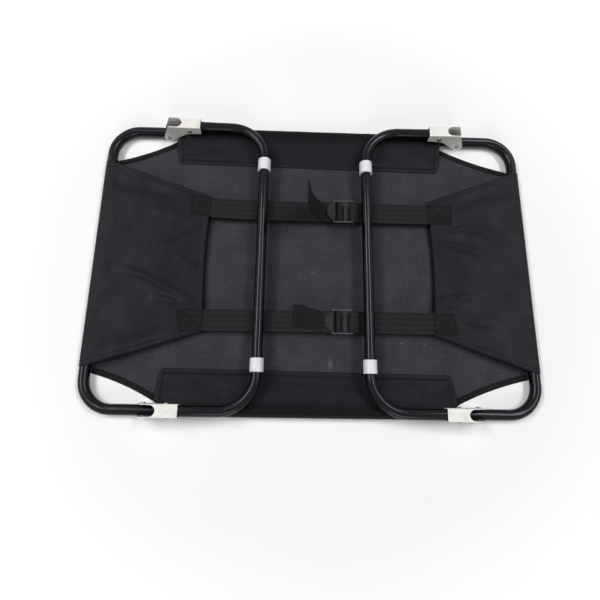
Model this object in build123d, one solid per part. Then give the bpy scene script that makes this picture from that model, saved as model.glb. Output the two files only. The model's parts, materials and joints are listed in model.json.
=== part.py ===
import os
from math import acos, atan2, cos, degrees, hypot, radians, sin, tan

from build123d import *

os.makedirs("parts", exist_ok=True)

# Overall size of the bed over its cloth
BED_LENGTH = 950.0
BED_WIDTH = 650.0

# Round tube used for the frame and the legs
TUBE_DIAMETER = 22.0
TUBE_WALL = 1.2
FRAME_BEND = 60.0
LEG_BEND = 75.0

# Side rails, plugged into the end bows under the side sleeves
SPIGOT_LENGTH = 36.0
SPIGOT_GAP = 0.1
SPIGOT_RIVET_GAP = 13.5

# Cloth cover and the small gaps it keeps
CLOTH = 0.8
CLOTH_GAP = 0.2
LAY_GAP = 0.05
COVER_SHIFT = 12.0
CUT_END_INSET = 73.0
CUT_SIDE_INSET = 14.0
CUT_SAG = 6.0
BINDING_WIDTH = 10.0
BINDING_TUBE_GAP = 9.0
SLEEVE_END_TO_PIVOT = 32.5
SLEEVE_WIDTH = 82.0
SLEEVE_HEM = 12.0
SLEEVE_CORNER = 14.0
FLAP_ROOT_INSET = 83.0
FLAP_LENGTH = 220.5
FLAP_TIP_MARGIN = 0.5
FLAP_TIP_HEIGHT = 15.0

# Folding legs
PIVOT_TO_END = 124.5
CROSSBAR_FROM_CENTRE = 115.2
LEG_RAIL_GAP = 5.5
LEG_END_GAP = 4.0
LEG_REST_GAP = 0.6
OPEN_PAST_UPRIGHT = 28.0

# Hinge brackets bent from sheet
SHEET = 1.5
SHEET_BEND = 2.2
BRACKET_SIDE_GAP = 0.6
BRACKET_SEAT_GAP = 0.2
BRACKET_OUTER_END = 5.5
BRACKET_INNER_END = 76.5
BRACKET_SKIRT = 20.0
EAR_FLOOR_GAP = 0.5
HAUNCH_RUN = 42.0
HAUNCH_GAP = 5.3
HAUNCH_BEND = 18.0
WRAP_END_TO_PIVOT = 39.5
NOTCH_GAP = 0.3

# Rivets
RIVET_DIAMETER = 6.0
RIVET_GAP = 0.05
RIVET_HEAD_DIAMETER = 10.4
RIVET_HEAD_HEIGHT = 2.3
RIVET_HEAD_GAP = 0.1
LEG_RIVET_SETBACK = 13.5

# White sleeves that the open bed stands on
FOOT_LENGTH = 28.0
FOOT_WALL = 3.0
FOOT_GAP = 0.05
FOOT_SETBACK = 2.0
FOOT_SLIT = 3.0

# Webbing straps
STRAP_WIDTH = 46.0
STRAP = 1.5
STRAP_GAP = 0.3
FAR_STRAP_OFFSET = 121.0
NEAR_STRAP_OFFSET = 128.5
SEWN_LENGTH = 53.0
LOOP_LENGTH = 18.0
TACK_LENGTH = 8.0
SPLIT_GAP = 0.5
FAR_TAIL_RUN = 46.0
FAR_TAIL_RISE = 98.0
NEAR_TAIL_LENGTH = 67.0
NEAR_TAIL_SWING = 12.0

# Ladder-lock buckles
FAR_BUCKLE_TIP = 27.8
NEAR_BUCKLE_TIP = 23.6
BUCKLE_SIDE_GAP = 0.6
BUCKLE_SIDE = 2.6
TONGUE_REACH = 14.0
TONGUE_HALF_WIDTH = 20.0
TONGUE_BAR = 4.0
TONGUE_THICKNESS = 3.4
SLOT_WIDTH = 7.3
MIDDLE_BAR = 5.4
MIDDLE_BAR_THICKNESS = 2.5
UPPER_BAR = 8.2
UPPER_BAR_THICKNESS = 4.0
LOOP_SLOT_WIDTH = 6.6
LOOP_BAR_DIAMETER = 5.0
BUCKLE_END = 2.0

# Frame lines
TUBE_RADIUS = TUBE_DIAMETER / 2
BORE_RADIUS = TUBE_RADIUS - TUBE_WALL
WRAP_RADIUS = TUBE_RADIUS + CLOTH_GAP + CLOTH
AXIS_Z = WRAP_RADIUS
END_X = BED_LENGTH / 2 - WRAP_RADIUS
RAIL_Y = BED_WIDTH / 2 - WRAP_RADIUS
PIVOT_FROM_CENTRE = END_X - PIVOT_TO_END
SPIGOT_END = PIVOT_FROM_CENTRE - RIVET_DIAMETER / 2 - SPIGOT_RIVET_GAP
RAIL_HALF_LENGTH = SPIGOT_END - SPIGOT_LENGTH

# Leg lines, measured from the pivot with the leg level
LEG_REACH = PIVOT_FROM_CENTRE - CROSSBAR_FROM_CENTRE
LEG_OFFSET = TUBE_DIAMETER + LEG_RAIL_GAP
BRACKET_TOP = LEG_OFFSET + TUBE_RADIUS + BRACKET_SEAT_GAP + SHEET
BRACKET_HALF = TUBE_RADIUS + BRACKET_SIDE_GAP
LEAN = radians(OPEN_PAST_UPRIGHT)
NOTCH_HALF = TUBE_RADIUS + NOTCH_GAP
NOTCH_CENTRE = BRACKET_TOP * tan(LEAN)
LEG_START = NOTCH_CENTRE + NOTCH_HALF / cos(LEAN) + LEG_END_GAP
LEG_RIVET_RUN = LEG_START + LEG_RIVET_SETBACK
EAR_RADIUS = AXIS_Z - EAR_FLOOR_GAP

# Angle by which the folded leg drops to lie just off the side sleeve
ARM_RUN = LEG_REACH - LEG_BEND
ARM_LIMIT = WRAP_RADIUS + LEG_REST_GAP + TUBE_RADIUS
ARM_TURN = acos(ARM_LIMIT / hypot(LEG_OFFSET, ARM_RUN))
FOLD_ANGLE = degrees(ARM_TURN - atan2(ARM_RUN, LEG_OFFSET))

# Where the cover has crept to on the frame
SLEEVE_HALF_LENGTH = PIVOT_FROM_CENTRE - SLEEVE_END_TO_PIVOT
SLEEVE_LEFT = -SLEEVE_HALF_LENGTH - COVER_SHIFT
SLEEVE_RIGHT = SLEEVE_HALF_LENGTH - COVER_SHIFT
SLEEVE_EDGE_HALF = RAIL_Y - SLEEVE_WIDTH
WRAP_END = PIVOT_FROM_CENTRE - WRAP_END_TO_PIVOT
CUT_END_HALF = RAIL_Y - CUT_END_INSET
CUT_SIDE_HALF = RAIL_Y - CUT_SIDE_INSET
LEFT_TIP = END_X - FLAP_LENGTH - COVER_SHIFT
RIGHT_TIP = END_X - FLAP_LENGTH + COVER_SHIFT
FLAP_ROOT_HALF = RAIL_Y - FLAP_ROOT_INSET
STRAP_REACH = max(FAR_STRAP_OFFSET, NEAR_STRAP_OFFSET) + STRAP_WIDTH / 2
FLAP_TIP_HALF = STRAP_REACH + FLAP_TIP_MARGIN
FLAP_TIP_Z = FLAP_TIP_HEIGHT + CLOTH / 2

# Places along the buckle, from the tip of its tongue
TONGUE_END = TONGUE_REACH + TONGUE_BAR
MIDDLE_START = TONGUE_END + SLOT_WIDTH
MIDDLE_END = MIDDLE_START + MIDDLE_BAR
UPPER_START = MIDDLE_END + SLOT_WIDTH
UPPER_END = UPPER_START + UPPER_BAR
LOOP_BAR_RADIUS = LOOP_BAR_DIAMETER / 2
LOOP_BAR_RUN = UPPER_END + LOOP_SLOT_WIDTH + LOOP_BAR_RADIUS
BUCKLE_INNER = STRAP_WIDTH / 2 + BUCKLE_SIDE_GAP


def leave_point(centre, point):
    """Place where cloth wrapped round a tube leaves it for a point beyond."""
    middle = WRAP_RADIUS - CLOTH / 2
    across = point[0] - centre
    rise = point[1] - AXIS_Z
    turn = atan2(rise, across) % radians(360) - acos(middle / hypot(across, rise))
    return centre + middle * cos(turn), AXIS_Z + middle * sin(turn), degrees(turn)


def wrap(centre, *points):
    """Path from under a tube, round its outer side and on through the points."""
    x, z, turn = leave_point(centre, points[0])
    arc = CenterArc((centre, AXIS_Z), WRAP_RADIUS - CLOTH / 2, -90, turn + 90)
    return arc + Polyline((x, z), *points)


def across_bed(path, thickness, centre, width):
    """Thick strip along a path in X and Z, as wide as told in Y."""
    plane = Plane(origin=(0, centre - width / 2, 0), x_dir=(1, 0, 0), z_dir=(0, -1, 0))
    return extrude(plane * trace(path, line_width=thickness), amount=width, dir=(0, 1, 0))


def along_bed(path, thickness, low, high):
    """Thick strip along a path in Y and Z, from one X to another."""
    plane = Plane(origin=(low, 0, 0), x_dir=(0, 1, 0), z_dir=(1, 0, 0))
    return extrude(plane * trace(path, line_width=thickness), amount=high - low, dir=(1, 0, 0))


def bent_tube(path):
    """Tube swept along a path."""
    ring = Circle(TUBE_RADIUS) - Circle(BORE_RADIUS)
    return sweep(Plane(origin=path @ 0, z_dir=path % 0) * ring, path=path)


def cross_bore(x, y, z):
    """Hole across the bed for a rivet."""
    length = 4 * TUBE_DIAMETER
    return Pos(x, y, z) * Rot(90, 0, 0) * Cylinder(RIVET_DIAMETER / 2 + RIVET_GAP, length)


def folded(shape):
    """Leg piece built level, dropped to its folded place on the left."""
    pivot = Axis((-PIVOT_FROM_CENTRE, 0, AXIS_Z), (0, 1, 0))
    return shape.rotate(pivot, FOLD_ANGLE)


def panel_cut(x_side, y_side):
    """Hollow curve that cuts one corner off the sleeping panel."""
    side_x = SLEEVE_RIGHT if x_side > 0 else SLEEVE_LEFT
    end = (x_side * END_X, y_side * CUT_END_HALF)
    side = (side_x, y_side * CUT_SIDE_HALF)
    run = abs(end[0] - side[0])
    rise = abs(end[1] - side[1])
    length = hypot(run, rise)
    x = (end[0] + side[0]) / 2 - x_side * CUT_SAG * rise / length
    y = (end[1] + side[1]) / 2 - y_side * CUT_SAG * run / length
    return ThreePointArc(end, (x, y), side)


def panel_outline():
    """Outline of the sleeping panel inside the frame tubes."""
    lines = [panel_cut(x, y) for x in (1, -1) for y in (1, -1)]
    for x in (END_X, -END_X):
        lines.append(Line((x, CUT_END_HALF), (x, -CUT_END_HALF)))
    for y in (1, -1):
        left = (SLEEVE_LEFT, y * CUT_SIDE_HALF)
        right = (SLEEVE_RIGHT, y * CUT_SIDE_HALF)
        left_rail = (SLEEVE_LEFT, y * RAIL_Y)
        right_rail = (SLEEVE_RIGHT, y * RAIL_Y)
        lines.append(Polyline(left, left_rail, right_rail, right))
    edges = [edge for line in lines for edge in line.edges()]
    return make_face(edges)


def corner_binding(x_side, y_side):
    """Folded hem along one cut corner, lying on the panel."""
    place = Pos(0, 0, CLOTH + LAY_GAP)
    face = trace(panel_cut(x_side, y_side), line_width=2 * BINDING_WIDTH)
    strip = extrude(place * face, amount=CLOTH)
    panel = extrude(place * panel_outline(), amount=CLOTH)
    length = 2 * (END_X - BINDING_TUBE_GAP)
    width = 2 * (RAIL_Y - BINDING_TUBE_GAP)
    return strip & panel & Box(length, width, TUBE_DIAMETER)


def side_sleeve():
    """Far edge of the cover, wrapped round its rail and sewn down."""
    hem_z = 1.5 * CLOTH + LAY_GAP
    seam = (SLEEVE_EDGE_HALF + SLEEVE_HEM, hem_z)
    path = wrap(RAIL_Y, seam, (SLEEVE_EDGE_HALF, hem_z))
    sheet = along_bed(path, CLOTH, SLEEVE_LEFT, SLEEVE_RIGHT)
    left_wrap = max(SLEEVE_LEFT, -WRAP_END)
    right_wrap = min(SLEEVE_RIGHT, WRAP_END)
    flange_y = RAIL_Y - BRACKET_HALF - SHEET - NOTCH_GAP
    slope_y = flange_y - SLEEVE_CORNER / 2
    outside = RAIL_Y + 2 * WRAP_RADIUS
    right = [(SLEEVE_RIGHT, slope_y), (right_wrap, flange_y), (right_wrap, outside)]
    left = [(left_wrap, outside), (left_wrap, flange_y), (SLEEVE_LEFT, slope_y)]
    base = [(SLEEVE_LEFT, SLEEVE_EDGE_HALF), (SLEEVE_RIGHT, SLEEVE_EDGE_HALF)]
    outline = make_face(Polyline(*base, *right, *left, close=True))
    outline = fillet(outline.vertices().group_by(Axis.Y)[0], SLEEVE_CORNER)
    return sheet & extrude(outline, amount=3 * TUBE_DIAMETER)


def end_flap(tip):
    """Right end of the cover, wrapped round its tube and tapering inwards."""
    path = wrap(END_X, (tip, FLAP_TIP_Z))
    sheet = across_bed(path, CLOTH, 0, 2 * FLAP_ROOT_HALF)
    outside = END_X + 2 * WRAP_RADIUS
    far = [(tip - CLOTH, FLAP_TIP_HALF), (END_X, FLAP_ROOT_HALF), (outside, FLAP_ROOT_HALF)]
    near = [(x, -y) for x, y in reversed(far)]
    outline = make_face(Polyline(*far, *near, close=True))
    return sheet & extrude(outline, amount=3 * TUBE_DIAMETER)


def sewn_points(tip):
    """Ends of the sewn part of a strap, lying on the flap with this tip."""
    x, z, turn = leave_point(END_X, (tip, FLAP_TIP_Z))
    length = hypot(x - tip, z - FLAP_TIP_Z)
    slope = ((x - tip) / length, (z - FLAP_TIP_Z) / length)
    lift = CLOTH / 2 + LAY_GAP + STRAP / 2
    edge = (tip - lift * slope[1], FLAP_TIP_Z + lift * slope[0])
    start = (edge[0] + SEWN_LENGTH * slope[0], edge[1] + SEWN_LENGTH * slope[1])
    return start, edge


# Heights of the webbing layers and of the buckle parts between them
STRAP_Z = sewn_points(LEFT_TIP)[1][1]
TAIL_Z = STRAP_Z + STRAP + STRAP_GAP
BAR_BASE = TAIL_Z + STRAP / 2 + STRAP_GAP
OVER_BAR_Z = BAR_BASE + MIDDLE_BAR_THICKNESS + STRAP_GAP + STRAP / 2
LOOP_RADIUS = LOOP_BAR_RADIUS + STRAP_GAP + STRAP / 2
LOOP_BAR_Z = STRAP_Z + LOOP_RADIUS
UP_RUN = MIDDLE_END + STRAP_GAP + STRAP / 2
DOWN_RUN = MIDDLE_START - STRAP_GAP - STRAP / 2
SPLIT_RUN = MIDDLE_END - STRAP


def strap_run(tip, centre):
    """Long strap from the left flap to the underside of a buckle."""
    start, edge = sewn_points(LEFT_TIP)
    end = (tip + SPLIT_RUN - SPLIT_GAP, STRAP_Z)
    path = Polyline((-start[0], start[1]), (-edge[0], edge[1]), end)
    return across_bed(path, STRAP, centre, STRAP_WIDTH)


def strap_loop(tip, centre):
    """Short strap from the right flap, looped round a buckle's end bar."""
    start, edge = sewn_points(RIGHT_TIP)
    bar = tip + LOOP_BAR_RUN
    sewn_z = STRAP_Z + STRAP + LAY_GAP
    tack = bar + LOOP_LENGTH
    lower = Polyline(start, edge, (tack, STRAP_Z), (bar, STRAP_Z))
    bend = CenterArc((bar, LOOP_BAR_Z), LOOP_RADIUS, 270, -180)
    over = (bar, LOOP_BAR_Z + LOOP_RADIUS)
    upper = Polyline(over, (tack, sewn_z), (tack + TACK_LENGTH, sewn_z))
    return across_bed(lower + bend + upper, STRAP, centre, STRAP_WIDTH)


def threaded_path(tip):
    """Path of a strap up over a buckle's middle bar and out under its tongue."""
    split = (tip + SPLIT_RUN, STRAP_Z)
    rise = [(tip + UP_RUN, STRAP_Z), (tip + UP_RUN, OVER_BAR_Z)]
    fall = [(tip + DOWN_RUN, OVER_BAR_Z), (tip + DOWN_RUN, TAIL_Z)]
    return FilletPolyline(split, *rise, *fall, (tip, TAIL_Z), radius=STRAP)


def far_strap_tail():
    """Threaded end of the far strap, curling up to stand free."""
    tip = FAR_BUCKLE_TIP
    end = (tip - FAR_TAIL_RUN, TAIL_Z + FAR_TAIL_RISE)
    out = (tip - 0.6 * FAR_TAIL_RUN, TAIL_Z)
    up = (end[0] + 0.2 * FAR_TAIL_RUN, TAIL_Z + 0.45 * FAR_TAIL_RISE)
    curl = Bezier((tip, TAIL_Z), out, up, end)
    path = threaded_path(tip) + curl
    return across_bed(path, STRAP, FAR_STRAP_OFFSET, STRAP_WIDTH)


def near_strap_tail():
    """Threaded end of the near strap, lying flat and swung a little aside."""
    tip = NEAR_BUCKLE_TIP
    threaded = across_bed(threaded_path(tip), STRAP, -NEAR_STRAP_OFFSET, STRAP_WIDTH)
    low = -NEAR_STRAP_OFFSET - STRAP_WIDTH / 2
    high = low + STRAP_WIDTH
    end = tip - NEAR_TAIL_LENGTH
    right = [(tip, low), (tip, high)]
    left = [(end, high + NEAR_TAIL_SWING), (end, low + NEAR_TAIL_SWING)]
    face = make_face(Polyline(*right, *left, close=True))
    return threaded + extrude(Pos(0, 0, TAIL_Z - STRAP / 2) * face, amount=STRAP)


def buckle_bar(start, end, thickness):
    """Bar across a buckle from one side to the other."""
    width = 2 * BUCKLE_INNER + BUCKLE_SIDE
    bar = Box(end - start, width, thickness, align=(Align.MIN, Align.CENTER, Align.MIN))
    bar = fillet(bar.edges().filter_by(Axis.Y), 0.3 * thickness)
    return Pos(start, 0, BAR_BASE) * bar


def buckle():
    """Ladder-lock buckle with its tongue tip on x = 0."""
    outer = 2 * (BUCKLE_INNER + BUCKLE_SIDE)
    bar = Pos(TONGUE_REACH + TONGUE_BAR / 2, 0) * Rectangle(TONGUE_BAR, outer)
    bar = fillet(bar.vertices().group_by(Axis.X)[0], TONGUE_BAR / 2)
    disc = Pos(TONGUE_REACH, 0) * Ellipse(TONGUE_REACH, TONGUE_HALF_WIDTH)
    half = Pos(TONGUE_REACH / 2, 0) * Rectangle(TONGUE_REACH, outer)
    tongue = extrude(Pos(0, 0, BAR_BASE) * (bar + (disc & half)), amount=TONGUE_THICKNESS)
    tongue = chamfer(tongue.edges().group_by(Axis.Z)[-1], TONGUE_THICKNESS / 5)
    end = (LOOP_BAR_RUN, LOOP_BAR_Z)
    top = BAR_BASE + UPPER_BAR_THICKNESS
    start = TONGUE_REACH + TONGUE_BAR / 2
    ridge = BAR_BASE + TONGUE_THICKNESS
    base = [(start, ridge), (start, BAR_BASE), (LOOP_BAR_RUN, BAR_BASE)]
    lid = [(LOOP_BAR_RUN, top), (UPPER_START, top), (TONGUE_END, ridge)]
    side = make_face(Polyline(*base, *lid, close=True))
    side += Pos(*end) * Circle(LOOP_BAR_RADIUS + BUCKLE_END)
    cheek = extrude(Plane.XZ * side, amount=BUCKLE_SIDE)
    far = Pos(0, BUCKLE_INNER + BUCKLE_SIDE, 0) * cheek
    near = Pos(0, -BUCKLE_INNER, 0) * cheek
    middle = buckle_bar(MIDDLE_START, MIDDLE_END, MIDDLE_BAR_THICKNESS)
    upper = buckle_bar(UPPER_START, UPPER_END, UPPER_BAR_THICKNESS)
    round_bar = Cylinder(LOOP_BAR_RADIUS, 2 * BUCKLE_INNER + BUCKLE_SIDE)
    round_bar = Pos(end[0], 0, end[1]) * Rot(90, 0, 0) * round_bar
    return tongue + far + near + middle + upper + round_bar


def end_bow():
    """Left end of the frame, bent from one tube."""
    stub = -RAIL_HALF_LENGTH - SPIGOT_GAP
    far = [(stub, RAIL_Y, AXIS_Z), (-END_X, RAIL_Y, AXIS_Z)]
    near = [(x, -y, z) for x, y, z in reversed(far)]
    bow = bent_tube(FilletPolyline(*far, *near, radius=FRAME_BEND))
    for y in (RAIL_Y, -RAIL_Y):
        bow -= cross_bore(-PIVOT_FROM_CENTRE, y, AXIS_Z)
    return bow


def side_rail():
    """Straight tube of one long side, with necked ends."""
    spigot_radius = BORE_RADIUS - SPIGOT_GAP
    bore = spigot_radius - TUBE_WALL
    rail = Cylinder(TUBE_RADIUS, 2 * RAIL_HALF_LENGTH)
    rail += Cylinder(spigot_radius, 2 * SPIGOT_END)
    rail -= Cylinder(bore, 2 * SPIGOT_END)
    rail -= Cylinder(BORE_RADIUS, 2 * (RAIL_HALF_LENGTH - TUBE_RADIUS))
    return Pos(0, 0, AXIS_Z) * Rot(0, 90, 0) * rail


def leg_tube():
    """Left leg, a U of tube whose arms lie above the side rails."""
    start = LEG_START - PIVOT_FROM_CENTRE
    bar = LEG_REACH - PIVOT_FROM_CENTRE
    height = AXIS_Z + LEG_OFFSET
    far = [(start, RAIL_Y, height), (bar, RAIL_Y, height)]
    near = [(x, -y, z) for x, y, z in reversed(far)]
    leg = bent_tube(FilletPolyline(*far, *near, radius=LEG_BEND))
    for y in (RAIL_Y, -RAIL_Y):
        leg -= cross_bore(LEG_RIVET_RUN - PIVOT_FROM_CENTRE, y, height)
    return folded(leg)


def flange_profile():
    """Side view of a hinge bracket, with the pivot at the origin."""
    top = (BRACKET_OUTER_END, BRACKET_TOP)
    haunch = (HAUNCH_RUN, WRAP_RADIUS + HAUNCH_GAP)
    outer_turn = atan2(top[1], top[0]) + acos(EAR_RADIUS / hypot(*top))
    inner_turn = atan2(haunch[1], haunch[0]) - acos(EAR_RADIUS / hypot(*haunch))
    outer = (EAR_RADIUS * cos(outer_turn), EAR_RADIUS * sin(outer_turn))
    inner = (EAR_RADIUS * cos(inner_turn), EAR_RADIUS * sin(inner_turn))
    skirt = (BRACKET_INNER_END, BRACKET_TOP - BRACKET_SKIRT)
    corner = (BRACKET_INNER_END, BRACKET_TOP)
    profile = make_face(Polyline(top, outer, inner, haunch, skirt, corner, close=True))
    profile = fillet(profile.vertices().sort_by_distance((*haunch, 0))[0], HAUNCH_BEND)
    profile = fillet(profile.vertices().sort_by_distance((*skirt, 0))[0], SHEET_BEND)
    return profile + Circle(EAR_RADIUS)


def hinge_bracket(rail_y):
    """Channel that grips the end of a leg and turns on the frame."""
    half = BRACKET_HALF + SHEET
    channel = extrude(Plane.XZ * flange_profile(), amount=half, both=True)
    length = 4 * BRACKET_INNER_END
    inside = Box(length, 2 * BRACKET_HALF, length, align=(Align.CENTER, Align.CENTER, Align.MAX))
    channel -= Pos(0, 0, BRACKET_TOP - SHEET) * inside
    ridges = channel.edges().filter_by(Axis.X).group_by(Axis.Z)[-1]
    channel = fillet(ridges, SHEET_BEND)
    seat = Pos(NOTCH_CENTRE, 0) * Ellipse(NOTCH_HALF / cos(LEAN), NOTCH_HALF)
    mouth = Pos(NOTCH_CENTRE - TUBE_DIAMETER, 0) * Rectangle(2 * TUBE_DIAMETER, 2 * NOTCH_HALF)
    notch = extrude(Pos(0, 0, BRACKET_TOP - SHEET) * (seat + mouth), amount=2 * SHEET)
    channel -= notch
    channel -= cross_bore(0, 0, 0)
    channel -= cross_bore(LEG_RIVET_RUN, 0, LEG_OFFSET)
    return folded(Pos(-PIVOT_FROM_CENTRE, rail_y, AXIS_Z) * channel)


def rivet():
    """Rivet across a bracket, headed on both sides."""
    grip = BRACKET_HALF + SHEET + RIVET_HEAD_GAP
    head = Cylinder(RIVET_HEAD_DIAMETER / 2, RIVET_HEAD_HEIGHT)
    head = fillet(head.edges().group_by(Axis.Z)[-1], 0.7 * RIVET_HEAD_HEIGHT)
    head = Pos(0, 0, grip + RIVET_HEAD_HEIGHT / 2) * head
    whole = Cylinder(RIVET_DIAMETER / 2, 2 * grip) + head + Rot(180, 0, 0) * head
    return Rot(90, 0, 0) * whole


def pivot_rivet(rail_y):
    """Rivet that a left bracket turns on."""
    return Pos(-PIVOT_FROM_CENTRE, rail_y, AXIS_Z) * rivet()


def leg_rivet(rail_y):
    """Rivet that holds a left bracket on its leg."""
    x = LEG_RIVET_RUN - PIVOT_FROM_CENTRE
    return folded(Pos(x, rail_y, AXIS_Z + LEG_OFFSET) * rivet())


def foot_sleeve(y_side):
    """Split plastic sleeve on the crossbar of the left leg."""
    centre = RAIL_Y - LEG_BEND - FOOT_SETBACK - FOOT_LENGTH / 2
    foot = Cylinder(TUBE_RADIUS + FOOT_GAP + FOOT_WALL, FOOT_LENGTH)
    foot = fillet(foot.edges().filter_by(GeomType.CIRCLE), FOOT_WALL / 2)
    foot -= Cylinder(TUBE_RADIUS + FOOT_GAP, FOOT_LENGTH)
    slit_depth = 2 * (TUBE_RADIUS + FOOT_WALL)
    foot -= Pos(-slit_depth / 2, 0, 0) * Box(slit_depth, FOOT_SLIT, FOOT_LENGTH)
    place = (LEG_REACH - PIVOT_FROM_CENTRE, y_side * centre, AXIS_Z + LEG_OFFSET)
    return folded(Pos(*place) * Rot(90, 0, 0) * foot)


def save(name, shape):
    """Write one piece as its own file."""
    shape.label = name
    export_step(shape, f"parts/{name}.step")


# Frame tubes
bow = end_bow()
save("end_bow_left", bow)
save("end_bow_right", mirror(bow, about=Plane.YZ))
rail = side_rail()
save("side_rail_far", Pos(0, RAIL_Y, 0) * rail)
save("side_rail_near", Pos(0, -RAIL_Y, 0) * rail)

# Cover
save("sleeping_panel", extrude(panel_outline(), amount=CLOTH))
sleeve = side_sleeve()
save("side_sleeve_far", sleeve)
save("side_sleeve_near", mirror(sleeve, about=Plane.XZ))
save("end_flap_left", mirror(end_flap(LEFT_TIP), about=Plane.YZ))
save("end_flap_right", end_flap(RIGHT_TIP))
for x_name, x_side in (("left", -1), ("right", 1)):
    for y_name, y_side in (("far", 1), ("near", -1)):
        save(f"corner_binding_{x_name}_{y_name}", corner_binding(x_side, y_side))

# Legs, brackets and rivets
leg = leg_tube()
save("leg_tube_left", leg)
save("leg_tube_right", mirror(leg, about=Plane.YZ))
for y_name, y_side in (("far", 1), ("near", -1)):
    pieces = {
        "hinge_bracket": hinge_bracket(y_side * RAIL_Y),
        "pivot_rivet": pivot_rivet(y_side * RAIL_Y),
        "leg_rivet": leg_rivet(y_side * RAIL_Y),
        "foot_sleeve": foot_sleeve(y_side),
    }
    for name, piece in pieces.items():
        save(f"{name}_left_{y_name}", piece)
        save(f"{name}_right_{y_name}", mirror(piece, about=Plane.YZ))

# Straps and buckles
save("strap_run_far", strap_run(FAR_BUCKLE_TIP, FAR_STRAP_OFFSET))
save("strap_run_near", strap_run(NEAR_BUCKLE_TIP, -NEAR_STRAP_OFFSET))
save("strap_loop_far", strap_loop(FAR_BUCKLE_TIP, FAR_STRAP_OFFSET))
save("strap_loop_near", strap_loop(NEAR_BUCKLE_TIP, -NEAR_STRAP_OFFSET))
save("strap_tail_far", far_strap_tail())
save("strap_tail_near", near_strap_tail())
lock = buckle()
save("buckle_far", Pos(FAR_BUCKLE_TIP, FAR_STRAP_OFFSET, 0) * lock)
save("buckle_near", Pos(NEAR_BUCKLE_TIP, -NEAR_STRAP_OFFSET, 0) * lock)
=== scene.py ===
"""Looks of a folding raised pet cot that lies face down with both legs folded.

Sizes are in millimetres in the part's own frame. A mesh is turned into metres when it is done.
"""

import json
import logging
import math
from collections.abc import Callable, Iterable, Sequence
from dataclasses import dataclass
from enum import Enum
from typing import NamedTuple

import bmesh
import bpy
from mathutils import Matrix, Vector, noise
from mathutils.geometry import interpolate_bezier


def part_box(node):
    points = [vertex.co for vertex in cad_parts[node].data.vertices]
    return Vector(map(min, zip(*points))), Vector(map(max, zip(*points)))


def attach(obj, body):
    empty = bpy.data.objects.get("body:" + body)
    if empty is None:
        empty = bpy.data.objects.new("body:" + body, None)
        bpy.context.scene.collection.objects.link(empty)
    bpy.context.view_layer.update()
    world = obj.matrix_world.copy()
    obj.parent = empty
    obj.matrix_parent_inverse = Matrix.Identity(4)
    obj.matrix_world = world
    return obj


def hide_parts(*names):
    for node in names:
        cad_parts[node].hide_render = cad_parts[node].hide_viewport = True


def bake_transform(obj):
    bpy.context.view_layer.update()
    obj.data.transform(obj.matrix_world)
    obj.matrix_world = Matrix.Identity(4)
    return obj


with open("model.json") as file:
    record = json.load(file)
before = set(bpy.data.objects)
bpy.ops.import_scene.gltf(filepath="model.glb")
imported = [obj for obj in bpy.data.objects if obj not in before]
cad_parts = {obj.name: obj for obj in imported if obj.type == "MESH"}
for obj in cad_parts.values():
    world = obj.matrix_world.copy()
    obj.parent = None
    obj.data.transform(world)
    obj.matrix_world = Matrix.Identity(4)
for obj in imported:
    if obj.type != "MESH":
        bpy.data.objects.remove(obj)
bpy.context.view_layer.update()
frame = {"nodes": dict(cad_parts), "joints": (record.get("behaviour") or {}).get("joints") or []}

MM = 0.001
THREAD_MAP = "thread"
# Mesh attribute of painted shade: darker cloth in sewn lines, round the tubes, under the flaps and deep
# in the buckles.
PAINTED_SHADE_MAP = "gloom"
LEAST_TURN = math.radians(0.5)
LEAST_RUN = 1e-6
BEND_ROOM = 0.499
LOG = logging.getLogger("pet_cot")

Point = tuple[float, float]
Shade = tuple[int, int, int]
Cells = tuple[float, float, float]


class XSide(Enum):
    """Short ends of the cot."""

    LEFT = -1
    RIGHT = 1


class YSide(Enum):
    """Long sides of the cot, seen from the viewer."""

    FAR = 1
    NEAR = -1


class Body(Enum):
    """Rigid bodies of the frame that pieces ride on."""

    FRAME = "frame"
    FAR_BUCKLE = "far_buckle"
    NEAR_BUCKLE = "near_buckle"


class Slot(Enum):
    """Material slots of the record."""

    PANEL = "panel_cloth"
    COVER = "cover_cloth"
    WEBBING = "webbing"


class Hold(Enum):
    """Ways a sheet of cloth is held."""

    STRETCHED = "stretched"
    FOLDED = "folded"


class Placed(NamedTuple):
    """Point of a cloth, its place on the flat cut and its painted shade, in sewn lines and hidden
    places.
    """

    point: Vector
    flat: Point
    gloom: float = 0.0


# Shared helpers


def name_of(*parts: Enum | str) -> str:
    """Joins words and sides to the name of a node or piece."""
    return "_".join(part.name.lower() if isinstance(part, Enum) else part for part in parts)


def span(node: str) -> tuple[Vector, Vector]:
    """Lowest and highest corner of a CAD node in millimetres."""
    low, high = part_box(node)
    return low / MM, high / MM


def linear(shade: Shade) -> tuple[float, float, float, float]:
    """Turns a display shade of 0 to 255 into a scene colour.

    Args:
        shade: Red, green and blue as a screen shows them.

    Returns:
        The linear colour with full alpha.
    """
    parts = [channel / 255 for channel in shade]
    curve = [((c + 0.055) / 1.055) ** 2.4 if c > 0.04045 else c / 12.92 for c in parts]
    return (*curve, 1.0)


def clamp(value: float) -> float:
    """Keeps a value between 0 and 1."""
    return min(1.0, max(0.0, value))


def smooth(low: float, high: float, value: float) -> float:
    """Eases from 0 at low to 1 at high."""
    share = clamp((value - low) / (high - low))
    return share * share * (3 - 2 * share)


def bell(offset: float, half: float) -> float:
    """Falls from 1 at no offset towards 0, with the given half width."""
    return math.exp(-((offset / half) ** 2))


def ripple(x: float, y: float, size: float, seed: float) -> float:
    """Soft unevenness between -1 and 1, with waves of about the given size."""
    return noise.noise(Vector((x / size, y / size, seed)))


def distance_to_run(spot: Vector, start: Vector, end: Vector) -> float:
    """Distance of a spot from a straight run between two points.

    Args:
        spot: The spot.
        start: Start of the run.
        end: End of the run.

    Returns:
        The shortest distance.
    """
    run = end - start
    share = clamp((spot - start).dot(run) / run.length_squared)
    return (spot - start - run * share).length


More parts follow.
